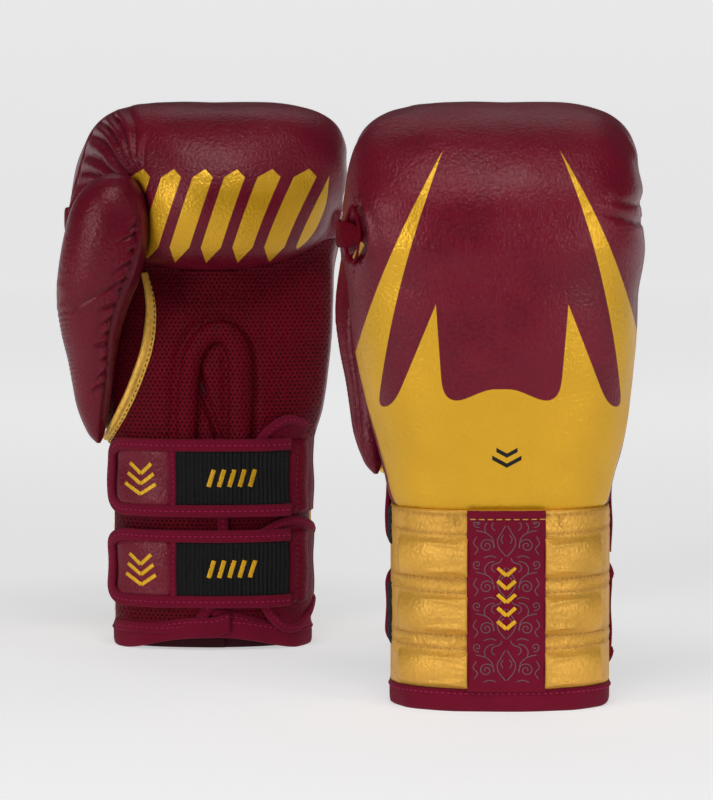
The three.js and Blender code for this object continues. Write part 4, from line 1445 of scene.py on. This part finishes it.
class Strap:
    """One closing strap, made piece by piece."""

    def __init__(self, level, materials):
        self.level, self.name, self.materials = level, f"strap_{level}", materials
        self.middle = STRAPS[level]
        self.low, self.high = self.middle - STRAP_HALF, self.middle + STRAP_HALF

    def make(self, name, shape, material, slot, **options):
        make(f"{self.name}_{name}", shape, self.materials[material], slot, self.name, **options)

    def add_edge(self):
        edge = rounded_end(TIP_X + 3.3, BAR_X, self.low + 3.3, self.high - 3.3, 7.5)
        path = on_strap(edge, 3.6, 1.0)
        shape = PALM.band(path, tape_profile(6.8, 3.0, 36, 3.2, [(-0.4, 0.3)]), 1.0)
        self.make("binding", shape, "tape", "binding_tape", own=True)
        shape = PALM.stitches(path + (0, 0, 2.9), 3.1, length=2.0, width=0.75, height=0.4)
        self.make("binding_stitches", shape, "thread", "binding_tape")

    def add_tip_patch(self):
        low, high = self.low + 5.6, self.high - 5.6
        shape = rounded_slab(TIP_X + 4.6, WEB_X + 0.4, low, high, 5.0, 3.7, 5.6, 0.8, 0.5)
        self.make("tip_patch", shape, "patch", "cover_leather", own=True)
        marks = []
        for k in range(3):
            x0, z0 = -38.0, self.middle + 5.6 * k
            for turn in (-1, 1):
                flat = on_strap([(x0, z0 - 9.2), (x0 + turn * (8.6 - 1.2 * k), z0 - 3.4)], 5.45, 0.8)
                marks.append(PALM.band(flat, tape_profile(2.1, 0.3, 12), 0.8))
        self.make("tip_mark", merged(marks), "gold", "gold_leather")
        line = [(WEB_X + 1.6, self.low + 6.0), (WEB_X + 1.6, self.high - 6.0)]
        shape = PALM.band(on_strap(line, 4.6, 1.0), tape_profile(3.4, 1.6, 18, 3.2), 1.0)
        self.make("tip_tape", shape, "tape", "binding_tape")
        shape = PALM.stitches(on_strap(line, 6.35, 1.0), 3.0, length=1.9, width=0.55, height=0.3)
        self.make("tip_stitches", shape, "thread", "binding_tape")

    def add_webbing(self):
        low, high = self.low + 5.8, self.high - 5.8
        shape = rounded_slab(WEB_X + 1.2, BAR_X + 1.2, low, high, 0.6, 3.7, 4.6, 0.42, 0.2, web_ribs)
        self.make("webbing", shape, "webbing", "webbing", own=True)
        marks = []
        for x0 in 0.5 + 5.6 * np.arange(5):
            flat = on_strap([(x0 - 1.0, self.middle - 4.6), (x0 + 1.9, self.middle + 4.8)], 5.35, 0.8)
            marks.append(PALM.band(flat, tape_profile(2.3, 0.42, 12), 0.8))
        self.make("marks", merged(marks), "gold", "gold_leather")

    def add_bar(self):
        low, high = self.low + 1.0, self.high - 1.2
        shape = rounded_slab(BAR_X + 0.3, BAR_X + 11.6, low, high, 2.5, 2.4, 4.3, 0.6, 0.9, bar_channels)
        self.make("bar", shape, "yoke", "cover_leather")
        rows = []
        for x in (BAR_X + 5.1, BAR_X + 10.0):
            line = on_strap([(x, self.low + 3.0), (x, self.high - 3.2)], 4.6, 1.0)
            rows.append(PALM.stitches(line, 3.0, length=1.9, width=0.6, height=0.35))
        self.make("bar_stitches", merged(rows), "thread", "binding_tape")

    def yoke_edges(self, along):
        """The yoke's lower and upper edge above the cuff's foot, for places along."""
        edges = []
        for key in ("bottom", "top"):
            x, z = np.array(YOKE[self.level][key], float).T
            spots = PALM.at_x(x)
            spots[-1] = PALM.at_angle(1.5)
            edges.append(self.middle + track(np.stack([spots, z], axis=1))(along)[0])
        return edges

    def add_yoke(self):
        """The fan of leather behind the webbing, taped round its arched ends, sewn in at the side seam."""
        start, end = PALM.at_x(26.0), PALM.at_angle(1.5)
        along, share = grid(start, end, 60, 0, 1, 70)
        low, high = self.yoke_edges(along)
        z = low + share * (high - low)
        folds = 0.35 * np.sin(along * 0.9) * smooth(along, PALM.at_x(52.0), end) + 0.3 * np.sin(z * 0.23)
        blend = (PALM.points([PALM.at_angle(2.0), 0, 1.5]), PALM.points([PALM.at_x(51.5), 0, 1.5]))
        shape = PALM.slab(along, z, 2.3 + folds, 1.1 + folds)
        self.make("yoke", shape, "yoke", "cover_leather", own=True, blend=blend)
        spots = np.linspace(start, end - 0.5, 60)
        low, high = self.yoke_edges(spots)
        tapes, rows = [], []
        for z in (high - 1.6, low + 1.6) if self.level == "lower" else (high - 1.6,):
            path = np.stack([spots, z, 0.4 + 0 * spots], axis=1)
            tapes.append(PALM.band(path, tape_profile(5.4, 3.0, 24, 2.6), 1.0))
            rows.append(PALM.stitches(path + (0, 0, 3.05), 3.0, length=1.9, width=0.5, height=0.28))
        self.make("yoke_tape", merged(tapes), "tape", "binding_tape", blend=blend)
        self.make("yoke_stitches", merged(rows), "thread", "binding_tape", blend=blend)

    def add_hook(self):
        shape = rounded_slab(TIP_X + 4.0, WEB_X - 2, self.low + 4, self.high - 4, 5, 2.2, 3.45, 1.0, 0.2)
        self.make("hook_patch", shape, "hook", "hook_fabric", own=True)


# ---- The gloves --------------------------------------------------------------------------------------

def paint_hidden_nodes(materials):
    """Gives the CAD nodes that stay their own materials."""
    for name, node in frame["nodes"].items():
        for ending, material in materials.items():
            if name.endswith(ending):
                node.data.materials.clear()
                node.data.materials.append(material)


def add_mitt(palm, gold, gold_thread):
    cover = leather("cover_leather", BURGUNDY, mark=back_print)
    # The tab and the rim of its opening take the darker burgundy: painted shade round the slit.
    tab = leather("tether_leather", BURGUNDY_SHADED, roughness=0.5, relief=0.4, shine=0.05)
    back, front = mitt_pieces()
    make("back_cover", back, cover, "cover_leather", own=True, hides=["knuckle_foam"], thickness=1.4,
         fill=0.9)
    make("palm_cover", front, palm, "palm_leather", own=True, thickness=1.4, fill=0.5)
    plain = leather("plain_leather", BURGUNDY)
    make("thumb_cover", thumb_surface(), plain, "cover_leather", "thumb", own=True, hides=["thumb_foam"],
         fill=0.9)
    add_arch(palm)
    add_piping(gold, cloth("dark_gold_thread", (0.16, 0.085, 0.02), 0.6, 0.05))
    add_tether(tab)
    add_tether_opening(tab, gold_thread)
    return plain


def add_cuff(palm, tape, thread, gold_thread, print_gold):
    gold = leather("cuff_gold_leather", CUFF_GOLD, 0.38, 0.3, shine=0.3, uneven=0.15, mark=pad_seam_painted_shade)
    lining = cloth("lining_fabric", (0.035, 0.004, 0.008), 0.7, 0.1)
    add_cuff_cover(gold, lining)
    add_pads(gold, gold_thread)
    add_strip(tape, cloth("ornament_print", (0.16, 0.10, 0.115), 0.7, 0.03), print_gold, gold_thread)
    add_hem(tape, thread)
    add_flaps(palm, tape, thread, lining)
    add_loops(cloth("loop_fabric", BLACK, 0.5, 0.4, 0.95, 0.1))


def build():
    # The palm leather takes the darker burgundy: painted shade for the palm side under the roll.
    palm = leather("palm_leather", BURGUNDY_SHADED, roughness=0.5, relief=0.7, shine=0.10, holes=True)
    print_gold = leather("print_gold", PRINT_GOLD, 0.36, 0.3, relief=0.3, uneven=0.2)
    pipe_gold = leather("pipe_gold", PIPE_GOLD, 0.36, 0.2, relief=0.3, shine=0.4)
    tape = cloth("binding_tape", TAPE)
    thread = cloth("thread", (0.40, 0.014, 0.090), 0.6, 0.05)
    gold_thread = cloth("gold_thread", (0.62, 0.34, 0.07), 0.6, 0.05)
    plain = add_mitt(palm, pipe_gold, gold_thread)
    add_cuff(palm, tape, thread, gold_thread, print_gold)
    straps = {
        "tape": tape, "thread": thread, "patch": plain, "gold": print_gold,
        "yoke": leather("trim_leather", BURGUNDY, roughness=0.5, relief=0.7, shine=0.10),
        "webbing": cloth("webbing", (0.009, 0.0085, 0.009), 0.9, 0.12, 0.5, 0.0),
        "hook": cloth("hook_fabric", BLACK, 1.4, 0.4, 0.7, 0.1),
    }
    for level in STRAPS:
        strap = Strap(level, straps)
        strap.add_edge()
        strap.add_tip_patch()
        strap.add_webbing()
        strap.add_bar()
        strap.add_yoke()
        strap.add_hook()
    foam = foam_material()
    paint_hidden_nodes({"_foam": foam, "grip_bar": foam, "hand_lining": hand_lining_material()})


add_camera()
add_studio()
add_floor()
build()
